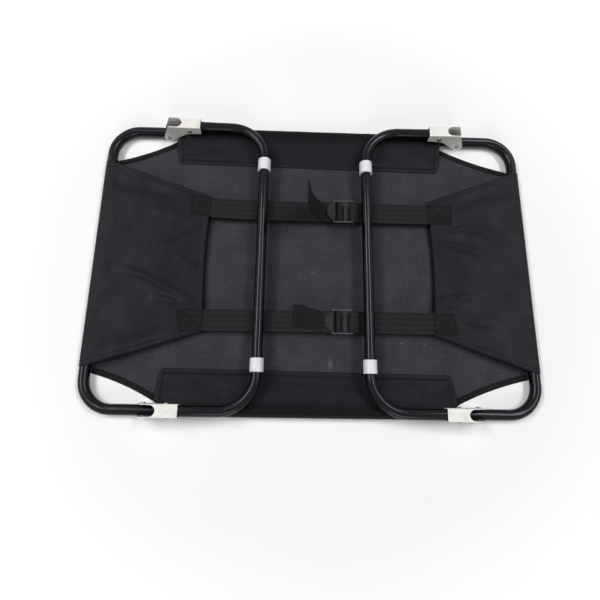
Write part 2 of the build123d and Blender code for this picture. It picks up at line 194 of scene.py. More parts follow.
def steps(length: float, coarse: float, fine: float, band: float) -> list[float]:
    """Positions along a length, close together in a band at both ends.

    Args:
        length: Whole length.
        coarse: Spacing in the middle.
        fine: Spacing in the end bands.
        band: Length of each end band.

    Returns:
        Positions from 0 to the length.
    """
    dense = math.ceil(band / fine)
    middle = math.ceil((length - 2 * band) / coarse)
    first = [band * i / dense for i in range(dense)]
    inner = [band + (length - 2 * band) * i / middle for i in range(middle)]
    last = [length - band + band * i / dense for i in range(dense + 1)]
    return first + inner + last


def cloth_grid(
    columns: Sequence[float], rows: Sequence[float], place: Callable[[float, float], Placed]
) -> bmesh.types.BMesh:
    """Lays a fine grid over a cloth shape, and notes where each point lies on the flat cut.

    Args:
        columns: Positions across the grid.
        rows: Positions up the grid.
        place: Gives the placed point for a column and a row.

    Returns:
        The open sheet as a mesh under construction.
    """
    bm = bmesh.new()
    across = len(columns) - 1
    up = len(rows) - 1
    bmesh.ops.create_grid(bm, x_segments=across, y_segments=up, size=0.5)
    painted_shades = bm.verts.layers.float.new(PAINTED_SHADE_MAP)
    threads = bm.loops.layers.uv.new(THREAD_MAP)
    flat: dict[bmesh.types.BMVert, Point] = {}
    for vert in bm.verts:
        column = columns[round((vert.co.x + 0.5) * across)]
        row = rows[round((vert.co.y + 0.5) * up)]
        vert.co, flat[vert], vert[painted_shades] = place(column, row)
    for face in bm.faces:
        for loop in face.loops:
            loop[threads].uv = Vector(flat[loop.vert]) * MM
    return bm


def face_up(bm: bmesh.types.BMesh) -> None:
    """Turns a sheet over if its topmost face looks down.

    Args:
        bm: The sheet.
    """
    bm.normal_update()
    top = max(bm.faces, key=lambda face: face.calc_center_median().z)
    if top.normal.z < 0:
        bmesh.ops.reverse_faces(bm, faces=bm.faces)


def finish_mesh(
    bm: bmesh.types.BMesh, name: str, materials: Iterable[bpy.types.Material]
) -> bpy.types.Object:
    """Turns a mesh under construction into an object at the origin.

    Args:
        bm: The mesh, in millimetres. It is used up.
        name: Name of the piece.
        materials: Its materials, in order.

    Returns:
        The object, in metres, smooth shaded.
    """
    bmesh.ops.scale(bm, vec=(MM, MM, MM), verts=bm.verts)
    for face in bm.faces:
        face.smooth = True
    mesh = bpy.data.meshes.new(name)
    bm.to_mesh(mesh)
    bm.free()
    for material in materials:
        mesh.materials.append(material)
    piece = bpy.data.objects.new(name, mesh)
    bpy.context.scene.collection.objects.link(piece)
    LOG.info("built %s with %d faces", name, len(mesh.polygons))
    return piece


def thicken(piece: bpy.types.Object, thickness: float, two_faced: bool = False) -> None:
    """Gives a sheet its thickness on both sides of its middle.

    Args:
        piece: The sheet.
        thickness: Whole thickness.
        two_faced: Whether the lower face takes the second material.
    """
    wall = piece.modifiers.new("thickness", "SOLIDIFY")
    wall.thickness = thickness * MM
    wall.offset = 0.0
    wall.material_offset = 1 if two_faced else 0


def dress_nodes(nodes: Iterable[str], material: bpy.types.Material) -> None:
    """Gives CAD nodes a finish.

    Args:
        nodes: Names of the nodes.
        material: The finish.
    """
    for name in nodes:
        mesh = frame["nodes"][name].data
        mesh.materials.clear()
        mesh.materials.append(material)
        LOG.info("dressed %s in %s", name, material.name)


# Paths across cloth and webbing


@dataclass(frozen=True)
class Line:
    """Straight stretch of a path."""

    start: Point
    end: Point

    @property
    def length(self) -> float:
        """Length of the stretch."""
        return math.dist(self.start, self.end)

    def at(self, run: float) -> tuple[Point, Point]:
        """Point and direction at a distance from the start.

        Args:
            run: The distance.

        Returns:
            The point and the direction, of length 1.
        """
        share = run / self.length
        way = tuple((b - a) / self.length for a, b in zip(self.start, self.end))
        return tuple(a + share * (b - a) for a, b in zip(self.start, self.end)), way

    def count(self, step: float) -> int:
        """Number of steps that the stretch needs."""
        return math.ceil(self.length / step)


@dataclass(frozen=True)
class Arc:
    """Round stretch of a path, turning by a signed angle."""

    centre: Point
    radius: float
    start_angle: float
    turn: float
    degrees_per_step: float = 9.0

    @property
    def length(self) -> float:
        """Length of the stretch."""
        return self.radius * abs(self.turn)

    def at(self, run: float) -> tuple[Point, Point]:
        """Point and direction at a distance from the start.

        Args:
            run: The distance.

        Returns:
            The point and the direction, of length 1.
        """
        angle = self.start_angle + self.turn * run / self.length
        sign = math.copysign(1.0, self.turn)
        across, up = math.cos(angle), math.sin(angle)
        point = (self.centre[0] + self.radius * across, self.centre[1] + self.radius * up)
        return point, (-sign * up, sign * across)

    def count(self, step: float) -> int:
        """Number of steps that the stretch needs."""
        by_angle = math.degrees(abs(self.turn)) / self.degrees_per_step
        return max(2, math.ceil(by_angle), math.ceil(self.length / step))


@dataclass(frozen=True)
class Track:
    """Path of straight and round stretches, followed by its length."""

    parts: tuple[Line | Arc, ...]

    @classmethod
    def rounded(cls, points: Sequence[Point], radius: float) -> "Track":
        """Straight runs through points, with their corners rounded.

        Args:
            points: Ends and corners of the path.
            radius: Radius of the corners, made less where a run is too short for it.

        Returns:
            The path.
        """
        parts: list[Line | Arc] = []
        start = Vector(points[0])
        for i in range(1, len(points) - 1):
            before, corner, after = (Vector(p) for p in points[i - 1 : i + 2])
            way_in = (corner - before).normalized()
            way_out = (after - corner).normalized()
            turn = way_in.angle_signed(way_out)
            if abs(turn) < LEAST_TURN:
                continue
            half = math.tan(abs(turn) / 2)
            room = min((corner - before).length, (after - corner).length) * BEND_ROOM
            reach = min(radius * half, room)
            bend = reach / half
            entry = corner - way_in * reach
            sign = -math.copysign(1.0, turn)
            normal = Vector((-way_in.y, way_in.x)) * sign
            centre = entry + normal * bend
            spoke = entry - centre
            parts.append(Line(tuple(start), tuple(entry)))
            parts.append(Arc(tuple(centre), bend, math.atan2(spoke.y, spoke.x), sign * abs(turn)))
            start = corner + way_out * reach
        parts.append(Line(tuple(start), tuple(points[-1])))
        return cls(tuple(part for part in parts if part.length > LEAST_RUN))

    @classmethod
    def wrapped(cls, centre: Point, radius: float, points: Sequence[Point]) -> "Track":
        """Cloth from under a tube, round its outer side and straight on to points.

        Args:
            centre: Middle of the tube.
            radius: Radius of the cloth on the tube.
            points: Places that the cloth goes on to, on the inner side.

        Returns:
            The path.
        """
        across, rise = (b - a for a, b in zip(centre, points[0]))
        leave = math.atan2(rise, across) % math.tau - math.acos(radius / math.hypot(across, rise))
        arc = Arc(centre, radius, -math.pi / 2, leave + math.pi / 2)
        stops = [arc.at(arc.length)[0], *points]
        return cls((arc, *(Line(a, b) for a, b in zip(stops, stops[1:]))))

    @property
    def length(self) -> float:
        """Length of the whole path."""
        return sum(part.length for part in self.parts)

    def at(self, run: float) -> tuple[Point, Point]:
        """Point and direction at a distance along the path.

        Args:
            run: The distance.

        Returns:
            The point and the direction, of length 1.
        """
        for part in self.parts[:-1]:
            if run <= part.length:
                return part.at(run)
            run -= part.length
        return self.parts[-1].at(run)

    def stations(self, step: float) -> list[float]:
        """Distances along the path for the rows of a strip.

        Args:
            step: Widest spacing.

        Returns:
            Distances from 0 to the length of the path.
        """
        found = [0.0]
        for part in self.parts:
            count = part.count(step)
            base = found[-1]
            found += [base + part.length * (i + 1) / count for i in range(count)]
        return found


# Finishes


@dataclass(frozen=True)
class Cloud:
    """Cloudy noise: size of a cloud, levels that give 0 and 1, number of finer layers."""

    size: float
    low: float = 0.3
    high: float = 0.7
    detail: float = 2.0


class Shader:
    """Node tree of one finish, with short calls for the nodes that it needs."""

    def __init__(self, name: str) -> None:
        """Starts a material with a principled surface.

        Args:
            name: Name of the material.
        """
        self.material = bpy.data.materials.new(name)
        self.material.use_nodes = True
        self.tree = self.material.node_tree
        self.surface = self.tree.nodes["Principled BSDF"]

    def add(
        self, kind: str, inputs: dict[str | int, object] | None = None, **settings: object
    ) -> bpy.types.Node:
        """Adds a node.

        Args:
            kind: Type of the node, without its common prefix.
            inputs: Constant values or output sockets, by input name or number.
            **settings: Properties of the node.

        Returns:
            The node.
        """
        node = self.tree.nodes.new("ShaderNode" + kind)
        for key, value in settings.items():
            setattr(node, key, value)
        for key, value in (inputs or {}).items():
            self.feed(node.inputs[key], value)
        return node

    def feed(self, socket: bpy.types.NodeSocket, value: object) -> None:
        """Links an output to a socket, or sets the socket's own value.

        Args:
            socket: Socket that is fed.
            value: Output socket or constant.
        """
        if isinstance(value, bpy.types.NodeSocket):
            self.tree.links.new(value, socket)
        else:
            socket.default_value = value

    def set(self, **values: object) -> None:
        """Feeds sockets of the surface, named with underscores for spaces."""
        for key, value in values.items():
            self.feed(self.surface.inputs[key.replace("_", " ")], value)

    def place(self) -> bpy.types.NodeSocket:
        """Place on the piece, in metres of the part's frame."""
        return self.add("TexCoord").outputs["Object"]

    def thread(self) -> bpy.types.NodeSocket:
        """Place on the flat cloth, in metres."""
        return self.add("UVMap", uv_map=THREAD_MAP).outputs["UV"]

    def gloom(self) -> bpy.types.NodeSocket:
        """Painted shade of a place in a sewn line or hidden under other parts, from 0 to 1."""
        return self.add("Attribute", attribute_name=PAINTED_SHADE_MAP).outputs["Fac"]

    def math(self, operation: str, *values: object) -> bpy.types.NodeSocket:
        """Result of a sum on one or two values."""
        return self.add("Math", dict(enumerate(values)), operation=operation).outputs[0]

    def weigh(self, *pairs: tuple[bpy.types.NodeSocket, float]) -> bpy.types.NodeSocket:
        """Sum of values times their weights.

        Args:
            *pairs: Values and weights.

        Returns:
            The sum.
        """
        total: object = 0.0
        for value, weight in pairs:
            inputs = {0: value, 1: weight, 2: total}
            total = self.add("Math", inputs, operation="MULTIPLY_ADD").outputs[0]
        return total

    def map_range(self, value: object, **limits: float) -> bpy.types.NodeSocket:
        """Maps a value between limits named with underscores for spaces."""
        inputs = {"Value": value} | {key.replace("_", " "): limit for key, limit in limits.items()}
        return self.add("MapRange", inputs).outputs["Result"]

    def between(self, share: object, limits: Point) -> bpy.types.NodeSocket:
        """Value that goes from the first limit to the second as a share goes from 0 to 1."""
        return self.map_range(share, To_Min=limits[0], To_Max=limits[1])

    def drawn(self, where: bpy.types.NodeSocket, factors: Point) -> bpy.types.NodeSocket:
        """Coordinates drawn out by factors along X and Y."""
        return self.add("Mapping", {"Vector": where, "Scale": (*factors, 1.0)}).outputs["Vector"]

    def noise(self, where: bpy.types.NodeSocket, cloud: Cloud) -> bpy.types.NodeSocket:
        """Cloudy value from 0 to 1.

        Args:
            where: Coordinates.
            cloud: Size and contrast of the clouds.

        Returns:
            The value.
        """
        inputs = {"Vector": where, "Scale": 1 / (cloud.size * MM), "Detail": cloud.detail}
        value = self.add("TexNoise", inputs).outputs["Fac"]
        return self.map_range(value, From_Min=cloud.low, From_Max=cloud.high)

    def mix(self, share: object, first: object, second: object) -> bpy.types.NodeSocket:
        """Mixes two colours."""
        node = self.add("Mix", {0: share, 6: first, 7: second}, data_type="RGBA")
        return node.outputs[2]

    def waves(self, where: bpy.types.NodeSocket, axis: str, pitch: float) -> bpy.types.NodeSocket:
        """Even waves from -1 to 1 along one axis.

        Args:
            where: Coordinates.
            axis: X, Y or Z.
            pitch: Length of a wave in millimetres.

        Returns:
            The wave height.
        """
        along = self.add("SeparateXYZ", {"Vector": where}).outputs[axis]
        return self.math("SINE", self.math("MULTIPLY", along, math.tau / (pitch * MM)))

    def relief(self, height: bpy.types.NodeSocket, depth: float, strength: float) -> None:
        """Feeds a height to the surface as fine relief of a depth in millimetres."""
        inputs = {"Height": height, "Distance": depth * MM, "Strength": strength}
        self.set(Normal=self.add("Bump", inputs).outputs["Normal"])


@dataclass(frozen=True)
class Finish:
    """Look of one kind of surface."""

    name: str

    @property
    def material(self) -> bpy.types.Material:
        """Makes the material at its first use.

        Returns:
            The material.
        """
        found = bpy.data.materials.get(self.name)
        if found is None:
            shader = Shader(self.name)
            self.compose(shader)
            found = shader.material
        return found

    def compose(self, shader: Shader) -> None:
        """Builds the node tree."""
        raise NotImplementedError


@dataclass(frozen=True)
class Smudge:
    """Dusty place on a cloth, given by its middle and its half sizes in the plan."""

    middle: Point
    halves: Point
    strength: float
    core: float = 0.2
    dust: Cloud = Cloud(3.0, 0.42, 0.62, 3.0)

    def compose(self, shader: Shader, place: bpy.types.NodeSocket) -> bpy.types.NodeSocket:
        """Builds the nodes that give the dust's share.

        Args:
            shader: Node tree that they are added to.
            place: Place on the piece.

        Returns:
            The share of dust, from 0 to the strength.
        """
        scale = [1 / (half * MM) for half in self.halves]
        shift = [-middle / half for middle, half in zip(self.middle, self.halves)]
        inputs = {"Vector": place, "Location": (*shift, 0.0), "Scale": (*scale, 0.0)}
        centred = shader.add("Mapping", inputs).outputs["Vector"]
        away = shader.add("VectorMath", {0: centred}, operation="LENGTH").outputs["Value"]
        inside = shader.map_range(away, From_Min=1.0, From_Max=self.core, To_Max=self.strength)
        return shader.math("MULTIPLY", inside, shader.noise(place, self.dust))


@dataclass(frozen=True)
class WovenFinish(Finish):
    """Plain woven cloth with uneven threads, a little lint, and painted shade in sewn lines and hidden
    places.
    """

    dark: Shade
    light: Shade
    lint: Shade
    # seam is the colour of the painted shade in sewn lines, round the tubes and under the flaps.
    seam: Shade
    pitch: float = 1.3
    cloud: Cloud = Cloud(60.0, detail=3.0)
    grain: Cloud = Cloud(2.0)
    slub: Cloud = Cloud(2.6)
    slub_draw: float = 0.05
    specks: Cloud = Cloud(4.0, 0.735, 0.765, 3.0)
    speck_share: float = 0.7
    painted_shade_share: float = 0.8
    tone_weights: tuple[float, ...] = (0.16, 0.5, 0.17, 0.17)
    weave_weights: tuple[float, ...] = (0.8, 0.6, 0.5, 0.5)
    relief: Point = (0.22, 0.5)
    roughness: Point = (0.94, 0.78)
    specular: float = 0.12
    sheen: float = 0.03
    sheen_roughness: float = 0.5
    smudges: tuple[Smudge, ...] = ()

    def compose(self, shader: Shader) -> None:
        """Builds the node tree.

        Args:
            shader: Node tree that is filled.
        """
        flat = shader.thread()
        cloud = shader.noise(flat, self.cloud)
        grain = shader.noise(flat, self.grain)
        warp = shader.noise(shader.drawn(flat, (1.0, self.slub_draw)), self.slub)
        weft = shader.noise(shader.drawn(flat, (self.slub_draw, 1.0)), self.slub)
        tone = shader.weigh(*zip((cloud, grain, warp, weft), self.tone_weights))
        colour = shader.mix(tone, linear(self.dark), linear(self.light))
        lint = shader.math("MULTIPLY", shader.noise(flat, self.specks), self.speck_share)
        colour = shader.mix(lint, colour, linear(self.lint))
        place = shader.place()
        for smudge in self.smudges:
            colour = shader.mix(smudge.compose(shader, place), colour, linear(self.lint))
        gloom = shader.math("MULTIPLY", shader.gloom(), self.painted_shade_share)
        colour = shader.mix(gloom, colour, linear(self.seam))
        shader.set(Base_Color=colour, Roughness=shader.between(cloud, self.roughness))
        shader.set(Specular_IOR_Level=self.specular)
        shader.set(Sheen_Weight=self.sheen, Sheen_Roughness=self.sheen_roughness)
        crossing = shader.math("MULTIPLY", *(shader.waves(flat, axis, self.pitch) for axis in "XY"))
        weave = shader.weigh(*zip((crossing, grain, warp, weft), self.weave_weights))
        shader.relief(weave, *self.relief)


@dataclass(frozen=True)
class WebbingFinish(Finish):
    """Ribbed polypropylene tape with a slanted weave on each rib, broad stripes, and painted shade in
    sewn lines and hidden stretches.
    """

    dark: Shade
    light: Shade
    # seam is the colour of the painted shade in sewn lines and deep in the buckle's slots.
    seam: Shade
    painted_shade_share: float = 0.95
    rib: float = 2.3
    pick: float = 1.1
    pick_slant: float = 32.0
    stripe: float = 11.5
    wear: Cloud = Cloud(1.6, detail=3.0)
    wear_draw: float = 0.1
    weave_weights: Point = (0.7, 0.5)
    tone_weights: tuple[float, ...] = (0.4, 0.25, 0.35)
    roughness: Point = (0.6, 0.8)
    specular: float = 0.05
    relief: Point = (0.25, 0.6)

    def compose(self, shader: Shader) -> None:
        """Builds the node tree.

        Args:
            shader: Node tree that is filled.
        """
        flat = shader.thread()
        rib = shader.waves(flat, "Y", self.rib)
        turn = {"Vector": flat, "Rotation": (0.0, 0.0, math.radians(self.pick_slant))}
        slant = shader.waves(shader.add("Mapping", turn).outputs["Vector"], "X", self.pick)
        weave = shader.weigh(*zip((rib, slant), self.weave_weights))
        peak = sum(self.weave_weights)
        shine = shader.map_range(weave, From_Min=-peak, From_Max=peak)
        stripe = shader.map_range(shader.waves(flat, "Y", self.stripe), From_Min=-1.0, From_Max=1.0)
        wear = shader.noise(shader.drawn(flat, (self.wear_draw, 1.0)), self.wear)
        tone = shader.weigh(*zip((shine, stripe, wear), self.tone_weights))
        colour = shader.mix(tone, linear(self.dark), linear(self.light))
        gloom = shader.math("MULTIPLY", shader.gloom(), self.painted_shade_share)
        colour = shader.mix(gloom, colour, linear(self.seam))
        shader.set(Base_Color=colour, Roughness=shader.between(wear, self.roughness))
        shader.set(Specular_IOR_Level=self.specular)
        shader.relief(weave, *self.relief)


@dataclass(frozen=True)
class GlossPaintFinish(Finish):
    """Baked gloss paint on steel tube, with rubbed places and specks of dust."""

    base: Shade
    rubbed: Shade
    rub: Cloud = Cloud(26.0, 0.6, 0.8, 5.0)
    rub_share: float = 0.3
    dust: Cloud = Cloud(2.6, 0.7, 0.75)
    dust_share: float = 0.5
    roughness: Point = (0.14, 0.22)
    specular: float = 0.18
    tint: tuple[float, float, float, float] = (0.88, 0.9, 1.0, 1.0)
    skin: Cloud = Cloud(9.0, 0.2, 0.8)
    relief: Point = (0.02, 0.15)

    def compose(self, shader: Shader) -> None:
        """Builds the node tree.

        Args:
            shader: Node tree that is filled.
        """
        place = shader.place()
        rub = shader.noise(place, self.rub)
        rubbed = shader.math("MULTIPLY", rub, self.rub_share)
        dusty = shader.math("MULTIPLY", shader.noise(place, self.dust), self.dust_share)
        wear = shader.math("MAXIMUM", rubbed, dusty)
        shader.set(Base_Color=shader.mix(wear, linear(self.base), linear(self.rubbed)))
        shader.set(Roughness=shader.between(rub, self.roughness))
        shader.set(Specular_IOR_Level=self.specular, Specular_Tint=self.tint)
        shader.relief(shader.noise(place, self.skin), *self.relief)


@dataclass(frozen=True)
class SheetPaintFinish(Finish):
    """Off-white paint on bent sheet steel, with dirt and small chips."""

    base: Shade
    dirt: Shade
    chip: Shade
    grime: Cloud = Cloud(16.0, 0.48, 0.82, 5.0)
    grime_share: float = 0.5
    chips: Cloud = Cloud(3.5, 0.735, 0.76, 4.0)
    roughness: Point = (0.36, 0.6)
    specular: float = 0.4
    skin: Cloud = Cloud(2.2, 0.25, 0.75, 3.0)
    relief: Point = (0.08, 0.35)

    def compose(self, shader: Shader) -> None:
        """Builds the node tree.

        Args:
            shader: Node tree that is filled.
        """
        place = shader.place()
        grime = shader.noise(place, self.grime)
        chips = shader.noise(place, self.chips)
        dirt = shader.math("MULTIPLY", grime, self.grime_share)
        colour = shader.mix(dirt, linear(self.base), linear(self.dirt))
        shader.set(Base_Color=shader.mix(chips, colour, linear(self.chip)))
        shader.set(Roughness=shader.between(grime, self.roughness))
        shader.set(Specular_IOR_Level=self.specular)
        skin = shader.noise(place, self.skin)
        shader.relief(shader.math("SUBTRACT", skin, chips), *self.relief)


@dataclass(frozen=True)
class SteelFinish(Finish):
    """Plated rivet steel with a dull bloom."""

    base: Shade
    bloom: Shade
    spots: Cloud = Cloud(4.0, 0.35, 0.75, 4.0)
    metallic: float = 0.9
    roughness: Point = (0.28, 0.5)
    grain: Cloud = Cloud(0.8)
    relief: Point = (0.05, 0.4)

    def compose(self, shader: Shader) -> None:
        """Builds the node tree.

        Args:
            shader: Node tree that is filled.
        """
        place = shader.place()
        spots = shader.noise(place, self.spots)
        shader.set(Base_Color=shader.mix(spots, linear(self.base), linear(self.bloom)))
        shader.set(Metallic=self.metallic, Roughness=shader.between(spots, self.roughness))
        shader.relief(shader.noise(place, self.grain), *self.relief)


@dataclass(frozen=True)
class RailHighlight:
    """Painted highlight on the side rails of the two buckles, which lie at different distances from y =
    0.
    """

    far: float
    near: float
    half: float
    shade: Shade
    fade: float = 0.3

    def compose(self, shader: Shader, place: bpy.types.NodeSocket) -> bpy.types.NodeSocket:
        """Adds a mask that is 1 on the rails.

        Args:
            shader: Node tree that it is added to.
            place: Place on the piece.

        Returns:
            The mask.
        """
        across = shader.add("SeparateXYZ", {"Vector": place}).outputs["Y"]
        shifted = shader.math("SUBTRACT", across, (self.far + self.near) / 2 * MM)
        mirrored = shader.math("ABSOLUTE", shifted)
        offset = shader.math("SUBTRACT", mirrored, (self.far - self.near) / 2 * MM)
        inner, outer = ((self.half + side * self.fade) * MM for side in (-1, 1))
        return shader.map_range(shader.math("ABSOLUTE", offset), From_Min=inner, From_Max=outer)


@dataclass(frozen=True)
class MouldedFinish(Finish):
    """Moulded plastic or twisted thread with a fine grain and scuffs."""

    base: Shade
    scuff: Shade
    grain: Cloud
    relief: Point
    roughness: Point
    specular: float
    scuffs: Cloud = Cloud(7.0, 0.5, 0.8, 5.0)
    tone_weights: Point = (0.6, 0.25)
    # Heights of the hollow's bottom and top, between which its walls take painted shade, and the colour
    # of that shade.
    hollow: Point | None = None
    hollow_shade: Shade = (4, 4, 5)
    # Painted highlight on the buckle's rails.
    rail_highlight: RailHighlight | None = None

    def compose(self, shader: Shader) -> None:
        """Builds the node tree, with a painted highlight on the rails and painted shade on the walls in
        the hollow.

        Args:
            shader: Node tree that is filled.
        """
        place = shader.place()
        scuffs = shader.noise(place, self.scuffs)
        grain = shader.noise(place, self.grain)
        tone = shader.weigh(*zip((scuffs, grain), self.tone_weights))
        colour = shader.mix(tone, linear(self.base), linear(self.scuff))
        if self.rail_highlight:
            colour = shader.mix(self.rail_highlight.compose(shader, place), colour, linear(self.rail_highlight.shade))
        if self.hollow:
            height = shader.add("SeparateXYZ", {"Vector": place}).outputs["Z"]
            deep, top = (level * MM for level in self.hollow)
            share = shader.map_range(height, From_Min=top, From_Max=deep)
            colour = shader.mix(share, colour, linear(self.hollow_shade))
        shader.set(Base_Color=colour, Roughness=shader.between(scuffs, self.roughness))
        shader.set(Specular_IOR_Level=self.specular)
        shader.relief(grain, *self.relief)


@dataclass(frozen=True)
class FloorFinish(Finish):
    """Plain pale floor with a barely uneven tone, which looks white far from the cot."""

    base: Shade
    shade: Shade
    cloud: Cloud = Cloud(700.0)
    roughness: float = 0.7
    specular: float = 0.1
    fade: Point = (560.0, 2600.0)

    def compose(self, shader: Shader) -> None:
        """Builds the node tree.

        Args:
            shader: Node tree that is filled.
        """
        place = shader.place()
        cloud = shader.noise(place, self.cloud)
        shader.set(Base_Color=shader.mix(cloud, linear(self.base), linear(self.shade)))
        shader.set(Roughness=self.roughness, Specular_IOR_Level=self.specular)
        away = shader.add("VectorMath", {0: place}, operation="LENGTH").outputs["Value"]
        near, far = (radius * MM for radius in self.fade)
        share = shader.map_range(away, From_Min=near, From_Max=far)
        rays = shader.add("LightPath").outputs
        mirrored = shader.math("MAXIMUM", rays["Is Glossy Ray"], rays["Is Transmission Ray"])
        seen = shader.math("MAXIMUM", rays["Is Camera Ray"], mirrored)
        glow = shader.math("MULTIPLY", share, seen)
        shader.set(Emission_Color=(1.0, 1.0, 1.0, 1.0), Emission_Strength=glow)


PANEL_DUST = (
    Smudge((37, -216), (7, 16), 0.5),
    Smudge((-2, -17), (5, 4), 0.5),
    Smudge((190, -169), (4, 3), 0.7),
    Smudge((237, -170), (5, 4), 0.6),
)
TUBE_PAINT = GlossPaintFinish("tube_gloss_black", base=(10, 10, 13), rubbed=(50, 50, 54))
BRACKET_PAINT = SheetPaintFinish(
    "bracket_off_white", base=(237, 235, 230), dirt=(194, 187, 174), chip=(122, 116, 106)
)
RIVET_STEEL = SteelFinish("rivet_plated_steel", base=(150, 146, 138), bloom=(104, 100, 94))
FOOT_PLASTIC = MouldedFinish(
    "foot_white_plastic",
    base=(230, 230, 234),
    scuff=(206, 206, 210),
    grain=Cloud(0.9),
    relief=(0.04, 0.5),
    roughness=(0.38, 0.55),
    specular=0.4,
)
BUCKLE_PLASTIC = MouldedFinish(
    "buckle_black_plastic",
    base=(31, 31, 33),
    scuff=(65, 65, 70),
    grain=Cloud(1.1),
    relief=(0.14, 0.5),
    roughness=(0.3, 0.45),
    specular=0.14,
    # Painted shade on the walls of the slots and a painted highlight on the rails.
    hollow=(20.5, 22.4),
    rail_highlight=RailHighlight(far=121.0, near=-128.5, half=23.6, shade=(78, 78, 84)),
)
THREAD_BLACK = MouldedFinish(
    "thread_black_twist",
    base=(14, 14, 16),
    scuff=(36, 36, 40),
    grain=Cloud(0.4),
    relief=(0.05, 0.5),
    roughness=(0.5, 0.7),
    specular=0.2,
)
PANEL_BACK = WovenFinish(
    "panel_coated_back",
    dark=(31, 30, 34),
    light=(73, 72, 78),
    lint=(128, 126, 126),
    # seam is the colour of the painted shade, mostly the painted shadow in the pockets under the flaps.
    seam=(6, 6, 7),
    smudges=PANEL_DUST,
)
COVER_CLOTH = WovenFinish(
    "cover_black_weave",
    dark=(12, 11, 14),
    light=(43, 42, 48),
    lint=(98, 98, 102),
    seam=(9, 9, 11),
    grain=Cloud(3.0),
    specks=Cloud(4.0, 0.75, 0.78, 3.0),
    relief=(0.22, 0.14),
    roughness=(0.46, 0.36),
    specular=0.053,
)
BINDING_CLOTH = WovenFinish(
    "binding_black_weave",
    dark=(18, 18, 20),
    light=(32, 32, 35),
    lint=(80, 80, 84),
    seam=(10, 10, 12),
    specks=Cloud(4.0, 0.78, 0.81, 3.0),
)
WEBBING_TAPE = WebbingFinish(
    "webbing_black_tape", dark=(25, 25, 27), light=(49, 49, 52), seam=(5, 5, 6)
)
FLOOR_WHITE = FloorFinish("floor_pale", base=(252, 252, 253), shade=(249, 249, 250))


# Sizes and forms that pieces share


@dataclass(frozen=True)
class Plan:
    """Sizes that several pieces share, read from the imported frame."""

    axis_z: float
    end_x: float
    rail_y: float
    cloth: float

    @classmethod
    def from_frame(cls) -> "Plan":
        """Reads the tubes and the cloth from the frame.

        Returns:
            The sizes.
        """
        rail_low, rail_high = span("side_rail_far")
        panel_low, panel_high = span("sleeping_panel")
        return cls(
            axis_z=(rail_low.z + rail_high.z) / 2,
            end_x=panel_high.x,
            rail_y=panel_high.y,
            cloth=panel_high.z - panel_low.z,
        )

    @property
    def wrap_radius(self) -> float:
        """Radius of the middle of the cloth round a tube."""
        return self.axis_z - self.cloth / 2

    @property
    def second_layer(self) -> float:
        """Height of the middle of cloth that lies on the panel."""
        return 1.5 * self.cloth


@dataclass(frozen=True)
class Waves:
    """Two layers of soft unevenness: sizes, seeds, weight of the fine one, draw of the broad one."""

    sizes: Point
    seeds: Point
    fine: float
    draw: float = 1.0

    def at(self, x: float, y: float, shift: float) -> float:
        """Unevenness at a place, with the broad layer's seed shifted."""
        broad = ripple(x, self.draw * y, self.sizes[0], self.seeds[0] + shift)
        return broad + self.fine * ripple(x, y, self.sizes[1], self.seeds[1])


@dataclass(frozen=True)
class Fold:
    """Soft ridge or furrow in stretched cloth, from one place of the plan to another."""

    start: Point
    end: Point
    height: float
    width: float
    bow: float = 0.0
    rounding: float = 0.7

    def lift(self, x: float, y: float) -> float:
        """Height that the fold adds at a place of the plan.

        Args:
            x: Place along the cot.
            y: Place across the cot.

        Returns:
            The added height, below 0 in a furrow.
        """
        run = Vector(self.end) - Vector(self.start)
        way = run.normalized()
        offset = Vector((x, y)) - Vector(self.start)
        share = offset.dot(way) / run.length
        if not 0 < share < 1:
            return 0.0
        crown = math.sin(math.pi * share)
        across = offset.x * -way.y + offset.y * way.x - self.bow * crown
        return self.height * crown**self.rounding * bell(across, self.width)


@dataclass(frozen=True)
class Hem:
    """Folded edge of cloth, puffed up and sewn down along a line."""

    width: float = 12.0
    rise: float = 1.3
    seam_inset: float = 1.5
    seam_depth: float = 0.6
    seam_half: float = 1.2
    rounding: float = 0.6
    pucker: float = 0.35
    pucker_size: float = 9.0
    pucker_half: float = 4.8
    pucker_seed: float = 4.2

    @property
    def line(self) -> float:
        """Distance of the sewn line from the cloth's edge."""
        return self.width - self.seam_inset

    def crease(self, margin: float) -> float:
        """How deep a place lies in the sewn line, from 0 to 1, which also sets the painted shade there.
        """
        return bell(margin - self.line, self.seam_half)

    def lift(self, margin: float, along: float) -> float:
        """Height that the hem adds.

        Args:
            margin: Distance from the cloth's edge.
            along: Place along the edge.

        Returns:
            The added height.
        """
        crown = max(0.0, math.sin(math.pi * clamp(margin / self.width))) ** self.rounding
        pucker = ripple(along, 0.0, self.pucker_size, self.pucker_seed)
        pucker *= bell(margin - self.line, self.pucker_half)
        return self.rise * crown - self.seam_depth * self.crease(margin) + self.pucker * pucker


